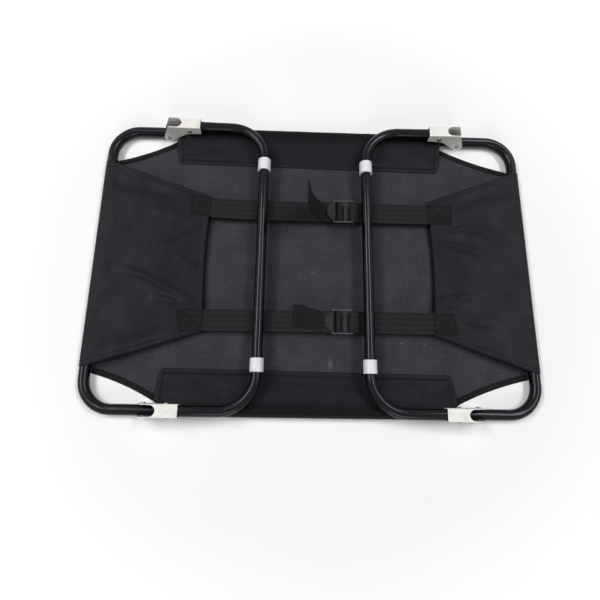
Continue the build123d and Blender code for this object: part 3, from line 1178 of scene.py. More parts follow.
@dataclass(frozen=True)
class Stitching:
    """Row of sewn stitches, each a small spindle of thread."""

    length: float = 3.0
    gap: float = 1.0
    thickness: float = 0.55
    sides: int = 6
    rings: int = 4

    def sew(
        self,
        bm: bmesh.types.BMesh,
        line: Sequence[Point],
        surface: Callable[[float, float], Vector],
    ) -> None:
        """Adds stitches along a line of straight runs on a surface.

        Args:
            bm: Mesh that the stitches are added to.
            line: Corners of the line on the flat cloth.
            surface: Gives the point on top of the cloth at a flat place.
        """
        for start, end in zip(line, line[1:]):
            run = math.dist(start, end)
            count = max(1, round(run / (self.length + self.gap)))
            for i in range(count):
                ends = []
                for share in (i / count, (i + 1) / count - self.gap / run):
                    ends.append(surface(*(a + share * (b - a) for a, b in zip(start, end))))
                self.stitch(bm, *ends)

    def stitch(self, bm: bmesh.types.BMesh, start: Vector, end: Vector) -> None:
        """Adds one stitch between two points.

        Args:
            bm: Mesh that the stitch is added to.
            start: Start of the stitch.
            end: End of the stitch.
        """
        turn = (end - start).to_track_quat("Z", "Y").to_matrix().to_4x4()
        size = (self.thickness / 2, self.thickness / 2, (end - start).length / 2)
        place = Matrix.Translation((start + end) / 2) @ turn @ Matrix.Diagonal((*size, 1.0))
        bmesh.ops.create_uvsphere(
            bm, u_segments=self.sides, v_segments=self.rings, radius=1.0, matrix=place
        )

    def build(
        self,
        name: str,
        lines: Iterable[Sequence[Point]],
        surface: Callable[[float, float], Vector],
        body: Body,
    ) -> bpy.types.Object:
        """Makes one piece of stitches along several lines.

        Args:
            name: Name of the piece.
            lines: Lines on the flat cloth.
            surface: Gives the point on top of the cloth at a flat place.
            body: Body that the stitches ride on.

        Returns:
            The stitches.
        """
        bm = bmesh.new()
        for line in lines:
            self.sew(bm, line, surface)
        seam = finish_mesh(bm, name, (THREAD_BLACK.material,))
        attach(seam, body.value)
        return seam


STITCHING = Stitching()
TACKING = Stitching(length=2.2, gap=0.3, thickness=0.7)


# Cover


def lay_cloth(
    bm: bmesh.types.BMesh,
    name: str,
    node: str,
    finishes: Sequence[Finish],
    thickness: float,
) -> bpy.types.Object:
    """Makes a sheet of the cover, which rides on the frame in place of a CAD node.

    Args:
        bm: The open sheet. It is used up.
        name: Name of the piece.
        node: Node that it replaces.
        finishes: Finish of the upper face, and of the lower one where that differs.
        thickness: Thickness of the cloth.

    Returns:
        The sheet.
    """
    piece = finish_mesh(bm, name, [finish.material for finish in finishes])
    thicken(piece, thickness, two_faced=len(finishes) > 1)
    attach(piece, Body.FRAME.value)
    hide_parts(node)
    return piece


@dataclass
class CornerCut:
    """Hollow curve that cuts one corner off the sleeping panel."""

    plan: Plan
    x_side: XSide
    end_half: float = 240.0
    side_half: float = 299.0
    sag: float = 6.0

    def __post_init__(self) -> None:
        """Works out the circle of the curve for the corner at +Y."""
        low, high = span("side_sleeve_far")
        self.side_x = high.x if self.x_side is XSide.RIGHT else -low.x
        end = Vector((self.plan.end_x, self.end_half))
        side = Vector((self.side_x, self.side_half))
        chord = side - end
        self.radius = (chord.length_squared / 4 + self.sag**2) / (2 * self.sag)
        outward = Vector((chord.y, -chord.x)).normalized()
        self.centre = (end + side) / 2 + outward * (self.radius - self.sag)
        first, last = end - self.centre, side - self.centre
        self.start_angle = math.atan2(first.y, first.x) % math.tau
        self.turn = math.atan2(last.y, last.x) % math.tau - self.start_angle

    @property
    def length(self) -> float:
        """Length of the curve."""
        return self.radius * abs(self.turn)

    def reach(self, y: float) -> float:
        """Distance of the panel's edge from the middle of the cot.

        Args:
            y: Place across the cot.

        Returns:
            The distance along the cot.
        """
        across = abs(y)
        if across <= self.end_half:
            return self.plan.end_x
        if across >= self.side_half:
            return self.side_x
        rise = across - self.centre.y
        return self.centre.x - math.sqrt(self.radius**2 - rise * rise)

    def at(self, share: float, inset: float) -> Point:
        """Place on the curve at +X +Y, moved inwards.

        Args:
            share: Share of the curve, from its end on the short side.
            inset: Distance inwards.

        Returns:
            The place in the plan.
        """
        angle = self.start_angle + self.turn * share
        radius = self.radius + inset
        return (
            self.centre.x + radius * math.cos(angle),
            self.centre.y + radius * math.sin(angle),
        )


@dataclass
class CornerHem:
    """Folded edge of the panel along one cut corner."""

    plan: Plan
    cut: CornerCut
    y_side: YSide
    cell: float
    hem: Hem = Hem(width=12.0, rise=1.2, seam_inset=3.2, seam_depth=0.5)
    lap: float = 0.6
    gap: float = 9.0
    step: float = 0.9
    fold: float = 0.3
    bend: float = 0.5

    def __post_init__(self) -> None:
        """Lays the hem's section round the panel's edge."""
        self.thickness = self.plan.cloth / 2
        seat = self.plan.second_layer
        outer = [(-self.lap, self.plan.cloth / 2), (-self.lap, seat - self.fold)]
        self.section = Track.rounded([*outer, (0.0, seat), (self.hem.width, seat)], self.bend)
        self.first = self.gap / self.cut.length

    def mirrored(self, share: float, inset: float, z: float) -> Vector:
        """Point at this corner, at a share of the curve, an inset and a height."""
        x, y = self.cut.at(share, inset)
        return Vector((self.cut.x_side.value * x, self.y_side.value * y, z))

    def place(self, share: float, run: float) -> Placed:
        """Point of the hem.

        Args:
            share: Share of the curve.
            run: Distance across the hem, along its section.

        Returns:
            The placed point, with painted shade in the sewn line.
        """
        (inset, z), _ = self.section.at(run)
        rise = self.hem.lift(inset, share * self.cut.length)
        point = self.mirrored(share, inset, z + rise)
        return Placed(point, (share * self.cut.length, run), self.hem.crease(inset))

    def top(self, share: float) -> Vector:
        """Point on top of the hem, on its sewn line."""
        z = self.plan.second_layer + self.hem.lift(self.hem.line, share * self.cut.length)
        return self.mirrored(share, self.hem.line, z + self.thickness / 2)

    def sew(self) -> bpy.types.Object:
        """Makes the stitches of the hem.

        Returns:
            The stitches.
        """
        bm = bmesh.new()
        length = self.cut.length
        count = math.floor((1 - self.first) * length / (STITCHING.length + STITCHING.gap))
        for i in range(count):
            start = self.first + (1 - self.first) * i / count
            STITCHING.stitch(bm, self.top(start), self.top(start + STITCHING.length / length))
        name = name_of("corner_seam", self.cut.x_side, self.y_side)
        seam = finish_mesh(bm, name, (THREAD_BLACK.material,))
        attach(seam, Body.FRAME.value)
        return seam

    def build(self) -> None:
        """Makes the hem and its stitching."""
        corner = (self.cut.x_side, self.y_side)
        count = math.ceil(self.cut.length / self.cell)
        shares = [self.first + (1 - self.first) * i / count for i in range(count + 1)]
        bm = cloth_grid(shares, self.section.stations(self.step), self.place)
        face_up(bm)
        hem = lay_cloth(
            bm,
            name_of("corner_hem", *corner),
            name_of("corner_binding", *corner),
            (BINDING_CLOTH,),
            self.thickness,
        )
        self.section.length * MM
        self.cut.length * MM
        self.sew()


@dataclass
class SleepingPanel:
    """Stretched cloth of the cot, grey and coated on the back, with hemmed corners."""

    plan: Plan
    flaps: tuple["EndFlap", ...]
    cell: float = 6.5
    cut_cell: float = 3.0
    tip_cell: float = 1.3
    tip_columns: int = 16
    wave: float = 0.9
    wave_size: float = 85.0
    wave_seed: float = 3.1
    end_margin: float = 20.0
    sleeve_margin: float = 85.0
    calm_margin: float = 70.0

    def __post_init__(self) -> None:
        """Makes the corner curves of the two ends."""
        self.cuts = {side: CornerCut(self.plan, side) for side in XSide}

    def rows(self) -> list[float]:
        """Places across the cot, with rows on the ends of the corner curves.

        Returns:
            The places, from the near side to the far one.
        """
        cut = self.cuts[XSide.LEFT]
        stops = [cut.end_half, cut.side_half, self.plan.rail_y]
        middle = math.ceil(2 * cut.end_half / self.cell)
        found = [-cut.end_half + 2 * cut.end_half * i / middle for i in range(middle + 1)]
        outer: list[float] = []
        for low, high in zip(stops, stops[1:]):
            count = math.ceil((high - low) / self.cut_cell)
            outer += [low + (high - low) * (i + 1) / count for i in range(count)]
        return [-y for y in reversed(outer)] + found + outer

    def shares(self) -> list[float]:
        """Shares of the panel's length, close together where the flaps end.

        Returns:
            The shares, from the left to the right.
        """
        columns = math.ceil(2 * self.plan.end_x / self.cell)
        found = [i / columns for i in range(columns + 1)]
        for flap in self.flaps:
            for i in range(self.tip_columns + 1):
                reach = flap.tip - flap.pocket_fade + i * self.tip_cell
                found.append(0.5 + flap.x_side.value * reach / (2 * self.plan.end_x))
        return sorted(found)

    def height(self, x: float, y: float) -> float:
        """Height of the middle of the cloth, level near its sewn edges.

        Args:
            x: Place along the cot.
            y: Place across the cot.

        Returns:
            The height.
        """
        edge_x = self.plan.end_x - abs(x)
        edge_y = self.plan.rail_y - abs(y) - self.sleeve_margin
        calm = smooth(self.end_margin, self.calm_margin, edge_x) * smooth(0, self.calm_margin, edge_y)
        wave = 0.5 + 0.5 * ripple(x, y, self.wave_size, self.wave_seed)
        return self.plan.cloth / 2 + self.wave * calm * wave

    def place(self, share: float, y: float) -> Placed:
        """Point of the panel.

        Args:
            share: Share of the panel's length.
            y: Place across the cot.

        Returns:
            The placed point, with painted shadow where a flap hides it.
        """
        left, right = (self.cuts[side].reach(y) for side in XSide)
        x = -left + share * (left + right)
        gloom = max(flap.pocket_shade(x, y) for flap in self.flaps)
        return Placed(Vector((x, y, self.height(x, y))), (x, y), gloom)

    def build(self) -> None:
        """Makes the panel and the folded hems of its corners."""
        bm = cloth_grid(self.shares(), self.rows(), self.place)
        flat_area = sum(face.calc_area() for face in bm.faces) * MM * MM
        finishes = (PANEL_BACK, COVER_CLOTH)
        panel = lay_cloth(bm, "panel", "sleeping_panel", finishes, self.plan.cloth)
        for cut in self.cuts.values():
            for y_side in YSide:
                CornerHem(self.plan, cut, y_side, self.cut_cell).build()


class WrappedCloth:
    """Edge of the cover that goes round a tube and back over the panel."""

    plan: Plan
    track: Track
    arc_length: float
    wrap_rows: int
    run_cells: Cells

    def wrap(self, tube: float, stops: Sequence[Point]) -> None:
        """Lays the path of the cloth.

        Args:
            tube: Distance of the tube from the middle of the cot.
            stops: Places that the cloth goes on to.
        """
        self.track = Track.wrapped((tube, self.plan.axis_z), self.plan.wrap_radius, stops)
        self.arc_length = self.track.parts[0].length

    def rows(self) -> list[float]:
        """Distances along the path, close together round the tube and at its edges.

        Returns:
            The distances, from under the tube to the sewn edge.
        """
        arc = [self.arc_length * i / self.wrap_rows for i in range(self.wrap_rows)]
        flat = steps(self.track.length - self.arc_length, *self.run_cells)
        return arc + [self.arc_length + run for run in flat]

    def spot(self, along: float, run: float) -> Placed:
        """Point of the cloth at a place along the tube and a distance along the path."""
        raise NotImplementedError

    def top(self, along: float, run: float) -> Vector:
        """Point on top of the cloth."""
        return self.spot(along, run).point + Vector((0, 0, self.plan.cloth / 2))


@dataclass
class SideSleeve(WrappedCloth):
    """Long edge of the cover, wrapped round its rail and sewn to the panel."""

    plan: Plan
    y_side: YSide
    narrowing: Point
    hem: Hem = Hem()
    seam_lap: float = 16.0
    seam_gap: float = 0.3
    seam_start: float = 22.0
    corner: float = 14.0
    corner_steps: int = 4
    bracket_clear: float = 13.4
    slope: float = 7.0
    wrap_half: float = 299.0
    wrap_rows: int = 26
    # Painted shade on the cloth round the rail, fading out over shade_run past the wrap.
    wrap_shade: float = 0.95
    shade_run: Point = (-2.0, 26.0)
    free_run: float = 14.0
    calm_run: Point = (24.0, 14.0)
    slack: float = 1.3
    waves: Waves = Waves((60.0, 24.0), (7.0, 1.7), 0.6, 2.0)
    sink: float = 0.35
    length_cells: Cells = (6.0, 1.2, 18.0)
    run_cells: Cells = (3.0, 1.2, 16.8)

    def __post_init__(self) -> None:
        """Reads the sleeve's outline and lays its path round the rail."""
        low, high = span("side_sleeve_far")
        self.left, self.right = low.x, high.x
        seam_z = self.plan.second_layer + self.seam_gap
        self.wrap(self.plan.rail_y, [(low.y + self.seam_lap, seam_z), (low.y, seam_z)])

    def ends(self, run: float) -> Point:
        """Left and right end of the sleeve, clear of the brackets.

        Args:
            run: Distance along the path.

        Returns:
            The two places along the cot.
        """
        (y, _), _ = self.track.at(run)
        flange = self.plan.rail_y - self.bracket_clear
        share = clamp((y - flange + self.slope) / self.slope)
        if run <= self.arc_length:
            share = 1.0
        left = self.left + share * (max(self.left, -self.wrap_half) - self.left)
        right = self.right + share * (min(self.right, self.wrap_half) - self.right)
        depth = self.corner - (self.track.length - run)
        if depth > 0:
            inset = self.corner - math.sqrt(self.corner**2 - depth * depth)
            left, right = left + inset, right - inset
        return left, right

    def spot(self, along: float, run: float) -> Placed:
        """Point of the sleeve.

        Args:
            along: Place along the cot.
            run: Distance along the path.

        Returns:
            The placed point, with painted shade on the rail and in the sewn line.
        """
        (y, z), (dy, dz) = self.track.at(run)
        left, right = self.ends(run)
        margin = min(self.track.length - run, along - left, right - along)
        free = smooth(self.arc_length, self.arc_length + self.free_run, run)
        loose = free * (1 - smooth(*(self.track.length - end for end in self.calm_run), run))
        wave = self.waves.at(along, run, self.y_side.value) - self.sink
        lift = free * self.hem.lift(margin, along + run) + loose * self.slack * wave
        share = (along - self.left) / (self.right - self.left)
        narrow = self.narrowing[0] + share * (self.narrowing[1] - self.narrowing[0])
        y += narrow * smooth(self.arc_length, self.track.length, run)
        point = Vector((along, self.y_side.value * (y + lift * dz), z - lift * dy))
        wrap_painted_shade = 1 - smooth(*(self.arc_length + end for end in self.shade_run), run)
        return Placed(point, (along, run), max(self.wrap_shade * wrap_painted_shade, self.hem.crease(margin)))

    def place(self, share: float, run: float) -> Placed:
        """Point of the sleeve at a share of its length and a distance along its path."""
        left, right = self.ends(run)
        return self.spot(left + share * (right - left), run)

    def seam_line(self) -> list[Point]:
        """Line of stitches round the sleeve's free edges.

        Returns:
            Corners of the line, as places along the cot and distances along the path.
        """
        bend = self.corner - self.hem.line
        end_run = self.track.length - self.corner
        start_run = self.arc_length + self.seam_start
        turns = [i * math.pi / 2 / self.corner_steps for i in range(self.corner_steps + 1)]
        line = [(self.left + self.hem.line, start_run)]
        for end, sign in ((self.left, 1), (self.right, -1)):
            arc = [
                (end + sign * (self.corner - bend * math.cos(turn)), end_run + bend * math.sin(turn))
                for turn in turns
            ]
            line += arc if sign > 0 else arc[::-1]
        return [*line, (self.right - self.hem.line, start_run)]

    def build(self) -> None:
        """Makes the sleeve and its stitching."""
        length = self.right - self.left
        shares = [run / length for run in steps(length, *self.length_cells)]
        bm = cloth_grid(shares, self.rows(), self.place)
        face_up(bm)
        sleeve = lay_cloth(
            bm,
            name_of("side_sleeve_cloth", self.y_side),
            name_of("side_sleeve", self.y_side),
            (COVER_CLOTH, PANEL_BACK),
            self.plan.cloth,
        )
        seam_name = name_of("side_sleeve_seam", self.y_side)
        seam = STITCHING.build(seam_name, [self.seam_line()], self.top, Body.FRAME)
        self.track.length * MM


@dataclass
class EndFlap(WrappedCloth):
    """Short end of the cover, wrapped round its tube and pulled in by the straps."""

    plan: Plan
    x_side: XSide
    straps: tuple[Point, ...]
    folds: tuple[Fold, ...]
    tip_bow: float
    hem: Hem = Hem()
    root_half: float = 230.0
    tip_margin: float = 0.5
    tip_height: float = 15.0
    sag: float = 3.0
    sag_run: float = 150.0
    hem_start: float = 0.7
    loose_run: float = 25.0
    slack: float = 1.7
    waves: Waves = Waves((75.0, 28.0), (5.0, 2.3), 0.5)
    sewn_length: float = 56.0
    sewn_calm: Point = (1.0, 16.0)
    wrap_rows: int = 28
    # Painted shade on the cloth round the end tube, fading out between the shares of the arc in
    # shade_arc.
    wrap_shade: float = 0.95
    shade_arc: Point = (0.45, 0.7)
    pocket_fade: float = 5.0
    width_cells: Cells = (4.5, 1.3, 20.8)
    run_cells: Cells = (3.6, 1.2, 16.8)

    def __post_init__(self) -> None:
        """Reads the flap's tip and lays its path round the end tube."""
        low, high = span(name_of("end_flap", self.x_side))
        self.tip = low.x if self.x_side is XSide.RIGHT else -high.x
        edges = [abs(edge) for strap in self.straps for edge in strap]
        self.tip_half = max(edges) + self.tip_margin
        self.inner_half = min(edges)
        self.wrap(self.plan.end_x, [(self.tip, self.tip_height + self.plan.cloth / 2)])
        slant = math.atan2(self.root_half - self.tip_half, self.plan.end_x - self.tip)
        self.slant_cos = math.cos(slant)

    def half_width(self, x: float) -> float:
        """Half of the flap's width at a distance from the middle of the cot."""
        share = (self.plan.end_x - x) / (self.plan.end_x - self.tip)
        return self.root_half - max(0.0, share) * (self.root_half - self.tip_half)

    def margin(self, x: float, y: float, run: float) -> float:
        """Distance of a place from the flap's nearest free edge."""
        return min((self.half_width(x) - abs(y)) * self.slant_cos, self.track.length - run)

    def bow(self, y: float) -> float:
        """How far the tip is drawn back between its corners, at a place across the cot."""
        return self.tip_bow * max(0.0, 1 - (y / self.tip_half) ** 2)

    def lift(self, x: float, y: float, run: float) -> float:
        """Distance of the cloth from its plain path, from hem, folds and sag.

        Args:
            x: Distance from the middle of the cot on the plain path.
            y: Place across the cot.
            run: Distance along the path.

        Returns:
            The distance, above 0 away from the tube and the panel.
        """
        upper = smooth(self.hem_start * self.arc_length, self.arc_length, run)
        loose = smooth(self.arc_length, self.arc_length + self.loose_run, run)
        to_tip = self.track.length - run
        for low, high in self.straps:
            beside = max(low - y, y - high, 0.0)
            beyond = max(to_tip - self.sewn_length, 0.0)
            loose *= smooth(*self.sewn_calm, math.hypot(beside, beyond))
        middle = max(0.0, 1 - (y / self.inner_half) ** 2)
        sag = self.sag * middle * smooth(self.sag_run, 0, to_tip)
        wave = self.waves.at(x, y, self.x_side.value)
        folds = sum(fold.lift(self.x_side.value * x, y) for fold in self.folds)
        hem = upper * self.hem.lift(self.margin(x, y, run), y + run)
        return hem + loose * (self.slack * wave + folds - sag)

    def spot(self, along: float, run: float) -> Placed:
        """Point of the flap.

        Args:
            along: Place across the cot, along the end tube.
            run: Distance along the path.

        Returns:
            The placed point, with painted shade under the tube and in the sewn line.
        """
        (x, z), (dx, dz) = self.track.at(run)
        lift = self.lift(x, along, run)
        wrap_painted_shade = 1 - smooth(*(share * self.arc_length for share in self.shade_arc), run)
        gloom = max(self.wrap_shade * wrap_painted_shade, self.hem.crease(self.margin(x, along, run)))
        x += self.bow(along) * smooth(self.arc_length, self.track.length, run)
        point = Vector((self.x_side.value * (x + lift * dz), along, z - lift * dx))
        return Placed(point, (along, run), gloom)

    def place(self, share: float, run: float) -> Placed:
        """Point of the flap at a share of its width and a distance along its path."""
        (x, _), _ = self.track.at(run)
        return self.spot((2 * share - 1) * self.half_width(x), run)

    def pocket_shade(self, x: float, y: float) -> float:
        """Painted shadow on the panel where the flap hides it, from 0 to 1.

        Args:
            x: Place along the cot.
            y: Place across the cot.

        Returns:
            The strength of the painted shadow.
        """
        reach = self.x_side.value * x
        tip = self.tip + self.bow(y)
        inside = smooth(0, self.pocket_fade, self.half_width(reach) - abs(y))
        return inside * smooth(tip - self.pocket_fade, tip, reach)

    def rise_at(self, x: float, y: float) -> float:
        """Height of the cloth over its plain path at a place of the plan.

        Args:
            x: Place along the cot.
            y: Place across the cot.

        Returns:
            The height, 0 beyond the flap's tip and root.
        """
        flat = self.track.parts[1]
        share = (flat.start[0] - abs(x)) / (flat.start[0] - flat.end[0])
        if not 0 < share < 1:
            return 0.0
        return self.lift(abs(x), y, self.arc_length + share * flat.length)

    def seam_line(self) -> list[Point]:
        """Line of stitches along the flap's slanted edges and its tip.

        Returns:
            Corners of the line, as places across the cot and distances along the path.
        """
        line = []
        for run in (self.arc_length, self.track.length - self.hem.line):
            (x, _), _ = self.track.at(run)
            line.append((self.half_width(x) - self.hem.line / self.slant_cos, run))
        return line + [(-y, run) for y, run in reversed(line)]

    def build(self) -> None:
        """Makes the flap and its stitching."""
        width = 2 * self.root_half
        shares = [run / width for run in steps(width, *self.width_cells)]
        bm = cloth_grid(shares, self.rows(), self.place)
        face_up(bm)
        flap = lay_cloth(
            bm,
            name_of("end_flap_cloth", self.x_side),
            name_of("end_flap", self.x_side),
            (COVER_CLOTH, PANEL_BACK),
            self.plan.cloth,
        )
        flat_length = self.track.length - self.arc_length
        seam_name = name_of("end_flap_seam", self.x_side)
        seam = STITCHING.build(seam_name, [self.seam_line()], self.top, Body.FRAME)
        self.track.length * MM


# Straps


@dataclass
class Tape:
    """Ribbed webbing laid along a path, with sewn lines pressed into it."""

    track: Track
    low: float
    high: float
    thickness: float
    seams: tuple[tuple[Point, ...], ...] = ()
    swing: Callable[[float], float] | None = None
    seat: Callable[[float, float], float] | None = None
    # Painted shade at a place of the path, for stretches sewn down or hidden in the buckle.
    gloom: Callable[[float, float], float] | None = None
    slant: float = 0.0
    slant_run: float = 40.0
    ribs: int = 20
    rib_cells: int = 4
    rib_rise: float = 0.12
    press: float = 0.7
    press_half: float = 1.3
    press_reach: float = 3.0
    press_shade: float = 0.9
    step: float = 4.0
    fine_step: float = 1.2
    least_step: float = 0.35
    edge: float = 0.45
    edge_segments: int = 2
    edge_angle: float = 60.0

    @property
    def width(self) -> float:
        """Width of the tape."""
        return self.high - self.low

    def rows(self) -> list[float]:
        """Distances along the path, close together at the sewn lines.

        Returns:
            The distances, from 0 to the length of the tape.
        """
        found = self.track.stations(self.step)
        for seam in self.seams:
            first = min(run for run, _ in seam) - self.press_reach * self.press_half
            last = max(run for run, _ in seam) + self.press_reach * self.press_half
            count = math.ceil((last - first) / self.fine_step)
            found += [first + (last - first) * i / count for i in range(count + 1)]
        kept = [0.0]
        for run in sorted(found):
            if kept[-1] + self.least_step < run < self.track.length - self.least_step:
                kept.append(run)
        return [*kept, self.track.length]

    def crease(self, run: float, across: float) -> float:
        """How deep a place lies in a sewn line.

        Args:
            run: Distance along the tape.
            across: Place across the tape.

        Returns:
            The depth, from 0 to 1.
        """
        spot = Vector((run, across))
        nearest = math.inf
        for seam in self.seams:
            for start, end in zip(seam, seam[1:]):
                nearest = min(nearest, distance_to_run(spot, Vector(start), Vector(end)))
        return bell(nearest, self.press_half)

    def spot(self, across: float, run: float) -> Placed:
        """Point in the middle of the tape's thickness.

        Args:
            across: Place across the tape.
            run: Distance along the tape.

        Returns:
            The placed point, with painted shade in the sewn lines and where the tape is hidden.
        """
        (x, z), (dx, dz) = self.track.at(run)
        crease = self.crease(run, across)
        rib = self.rib_rise * math.cos(math.tau * self.ribs * across / self.width)
        rise = rib - math.copysign(self.press * crease, dx)
        x -= dx * self.slant * (across / self.width - 0.5) * (1 - smooth(0, self.slant_run, run))
        y = self.low + across
        # Painted shade in the pressed sewn lines.
        gloom = self.press_shade * crease
        if self.gloom:
            gloom = max(gloom, self.gloom(x, z))
        if self.swing:
            y += self.swing(run)
        if self.seat:
            z += self.seat(x, y)
        return Placed(Vector((x - rise * dz, y, z + rise * dx)), (run, across), gloom)

    def top(self, run: float, across: float) -> Vector:
        """Point on the tape's upper face.

        Args:
            run: Distance along the tape.
            across: Place across the tape.

        Returns:
            The point.
        """
        _, (dx, dz) = self.track.at(run)
        out = math.copysign(self.thickness / 2, dx)
        return self.spot(across, run).point + Vector((-out * dz, 0, out * dx))

    def build(self, name: str, hold: Hold, rests_on: str) -> bpy.types.Object:
        """Args:
            name: Name of the piece.
            hold: How the tape is held. It is not used.
            rests_on: Node or piece that it lies on. It is not used.

        Returns:
            The tape, which rides on nothing yet.
        """
        count = self.ribs * self.rib_cells
        columns = [self.width * i / count for i in range(count + 1)]
        bm = cloth_grid(columns, self.rows(), self.spot)
        piece = finish_mesh(bm, name, (WEBBING_TAPE.material,))
        thicken(piece, self.thickness)
        edge = piece.modifiers.new("edge", "BEVEL")
        edge.width = self.edge * MM
        edge.segments = self.edge_segments
        edge.angle_limit = math.radians(self.edge_angle)
        flat = (self.width * MM, self.track.length * MM)
        return piece


@dataclass(frozen=True)
class StrapLay:
    """How the two straps of one buckle lie, with left and right values in pairs."""

    sewn: Point
    slant: Point
    swing: float
    swing_fade: float = 48.0
    tail_swing: float = 0.0
    tail_swing_run: Point = (92.0, 20.0)


@dataclass
class StrapSet:
    """Long strap, threaded tail and looped strap of one buckle."""

    plan: Plan
    y_side: YSide
    lay: StrapLay
    thickness: float = 1.5
    gap: float = 0.3
    lay_gap: float = 0.05
    split_gap: float = 0.5
    ramp_run: float = 30.0
    ramp_bend: float = 40.0
    bend: float = 1.6
    middle_bar: float = 5.4
    middle_bar_thickness: float = 2.5
    middle_bar_band: float = 2.0
    loop_length: float = 18.0
    loop_over: float = 2.0
    loop_band: float = 3.0
    tack_length: float = 8.0
    tack_rows: int = 5
    box_inset: float = 5.0
    side_inset: float = 2.4
    # Painted shade: sewn_shade and sewn_fade on the sewn stretches, over_fade, middle_bar_band and
    # loop_band deep in the buckle's slots, tail_shade and tail_fade on the tail past the tongue.
    sewn_shade: float = 0.3
    sewn_fade: Point = (2.0, 3.0)
    over_fade: Point = (0.7, 0.1)
    tail_hem: float = 22.0
    tail_seams: Point = (0.5, 0.15)
    tail_shade: float = 0.4
    tail_fade: float = 4.0
    curl_pull: float = 0.6
    curl_lead: Point = (0.2, 0.45)
    curl_points: int = 20
    blend_start: float = -60.0

    def __post_init__(self) -> None:
        """Reads the strap, the buckle and its hinge from the frame."""
        low, high = span(name_of("strap_run", self.y_side))
        self.low, self.high, self.run_end = low.y, high.y, high.x
        self.strap_z = low.z + self.thickness / 2
        self.tail_z = self.strap_z + self.thickness + self.gap
        self.body = Body[f"{self.y_side.name}_BUCKLE"]
        self.tongue_tip = span(name_of("buckle", self.y_side))[0].x
        hinge = next(joint for joint in frame["joints"] if joint["child"] == self.body.value)
        self.bar_x, _, self.bar_z = (value / MM for value in hinge["pos_m"])

    def sewn_ends(self, flap: EndFlap, length: float) -> list[Point]:
        """Start and edge of the stretch that is sewn to a flap.

        Args:
            flap: Flap that the strap is sewn to.
            length: Length of the sewn stretch.

        Returns:
            The two points, from the flap's root towards its tip.
        """
        flat = flap.track.parts[1]
        _, way = flat.at(0.0)
        lift = self.plan.cloth / 2 + self.lay_gap + self.thickness / 2
        edge = (flat.end[0] + lift * way[1], flat.end[1] - lift * way[0])
        start = (edge[0] - length * way[0], edge[1] - length * way[1])
        return [(flap.x_side.value * x, z) for x, z in (start, edge)]

    def box_lines(self, length: float) -> tuple[tuple[Point, ...], ...]:
        """Sewn box with a cross, on the flat tape.

        Args:
            length: Length of the stretch that is sewn to a flap.

        Returns:
            The box and the two lines of the cross.
        """
        first, last = self.box_inset, length - self.side_inset
        low, high = self.side_inset, self.high - self.low - self.side_inset
        corners = ((first, low), (last, low), (last, high), (first, high))
        return (*corners, corners[0]), (corners[0], corners[2]), (corners[1], corners[3])

    def cross_lines(self, runs: Iterable[float]) -> tuple[tuple[Point, ...], ...]:
        """Sewn lines straight across the tape."""
        low, high = self.side_inset, self.high - self.low - self.side_inset
        return tuple(((run, low), (run, high)) for run in runs)

    def build(self, flaps: dict[XSide, EndFlap]) -> None:
        """Makes the three tapes and their stitching.

        Args:
            flaps: Flaps that the straps are sewn to.
        """
        self.build_run(flaps[XSide.LEFT])
        self.build_loop(flaps[XSide.RIGHT])
        self.build_tail()

    def build_run(self, flap: EndFlap) -> None:
        """Makes the long strap from the left flap to the buckle.

        Args:
            flap: Flap that the strap is sewn to.
        """
        length = self.lay.sewn[0]
        start, edge = self.sewn_ends(flap, length)
        points = [start, edge, (edge[0] + self.ramp_run, self.strap_z), (self.run_end, self.strap_z)]
        on, past = self.sewn_fade
        tape = Tape(
            Track.rounded(points, self.ramp_bend),
            self.low,
            self.high,
            self.thickness,
            seams=self.box_lines(length),
            swing=lambda run: self.lay.swing * math.exp(-run / self.lay.swing_fade),
            seat=flap.rise_at,
            # Painted shade on the stretch sewn to the flap.
            gloom=lambda x, z: self.sewn_shade * (1 - smooth(edge[0] - on, edge[0] + past, x)),
            slant=self.lay.slant[0],
        )
        strap = tape.build(name_of("strap_long", self.y_side), Hold.STRETCHED, "end_flap_cloth_left")
        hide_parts(name_of("strap_run", self.y_side))
        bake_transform(strap)
        STITCHING.build(name_of("strap_box_left", self.y_side), tape.seams, tape.top, Body.FRAME)

    def build_loop(self, flap: EndFlap) -> None:
        """Makes the short strap from the right flap round the buckle's end bar.

        Args:
            flap: Flap that the strap is sewn to.
        """
        length = self.lay.sewn[1]
        start, edge = self.sewn_ends(flap, length)
        radius = self.bar_z - self.strap_z
        over_z = self.bar_z + radius
        sewn_z = self.strap_z + self.thickness + self.lay_gap
        tack = self.bar_x + self.loop_length
        turn = self.bar_x - radius
        points = [start, edge, (edge[0] - self.ramp_run, self.strap_z), (turn, self.strap_z)]
        points += [(turn, over_z), (self.bar_x + self.loop_over, over_z)]
        points += [(tack, sewn_z), (tack + self.tack_length, sewn_z)]
        track = Track.rounded(points, radius)
        box = self.box_lines(length)
        pitch = self.tack_length / self.tack_rows
        tacks = self.cross_lines(track.length - pitch * (i + 0.5) for i in range(self.tack_rows))
        on, past = self.sewn_fade
        tape = Tape(
            track,
            self.low,
            self.high,
            self.thickness,
            seams=box + tacks,
            seat=flap.rise_at,
            # Painted shade on the sewn stretch and on the tape going down round the buckle's end bar.
            gloom=lambda x, z: max(
                self.sewn_shade * smooth(edge[0] - past, edge[0] + on, x),
                (x < turn + self.loop_band) * (1 - smooth(self.bar_z, over_z, z)),
            ),
            slant=self.lay.slant[1],
        )
        loop = tape.build(name_of("strap_short", self.y_side), Hold.STRETCHED, "end_flap_cloth_right")
        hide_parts(name_of("strap_loop", self.y_side))
        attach(loop, Body.FRAME.value)
        STITCHING.build(name_of("strap_box_right", self.y_side), box, tape.top, Body.FRAME)
        TACKING.build(name_of("bar_tack", self.y_side), tacks, tape.top, Body.FRAME)

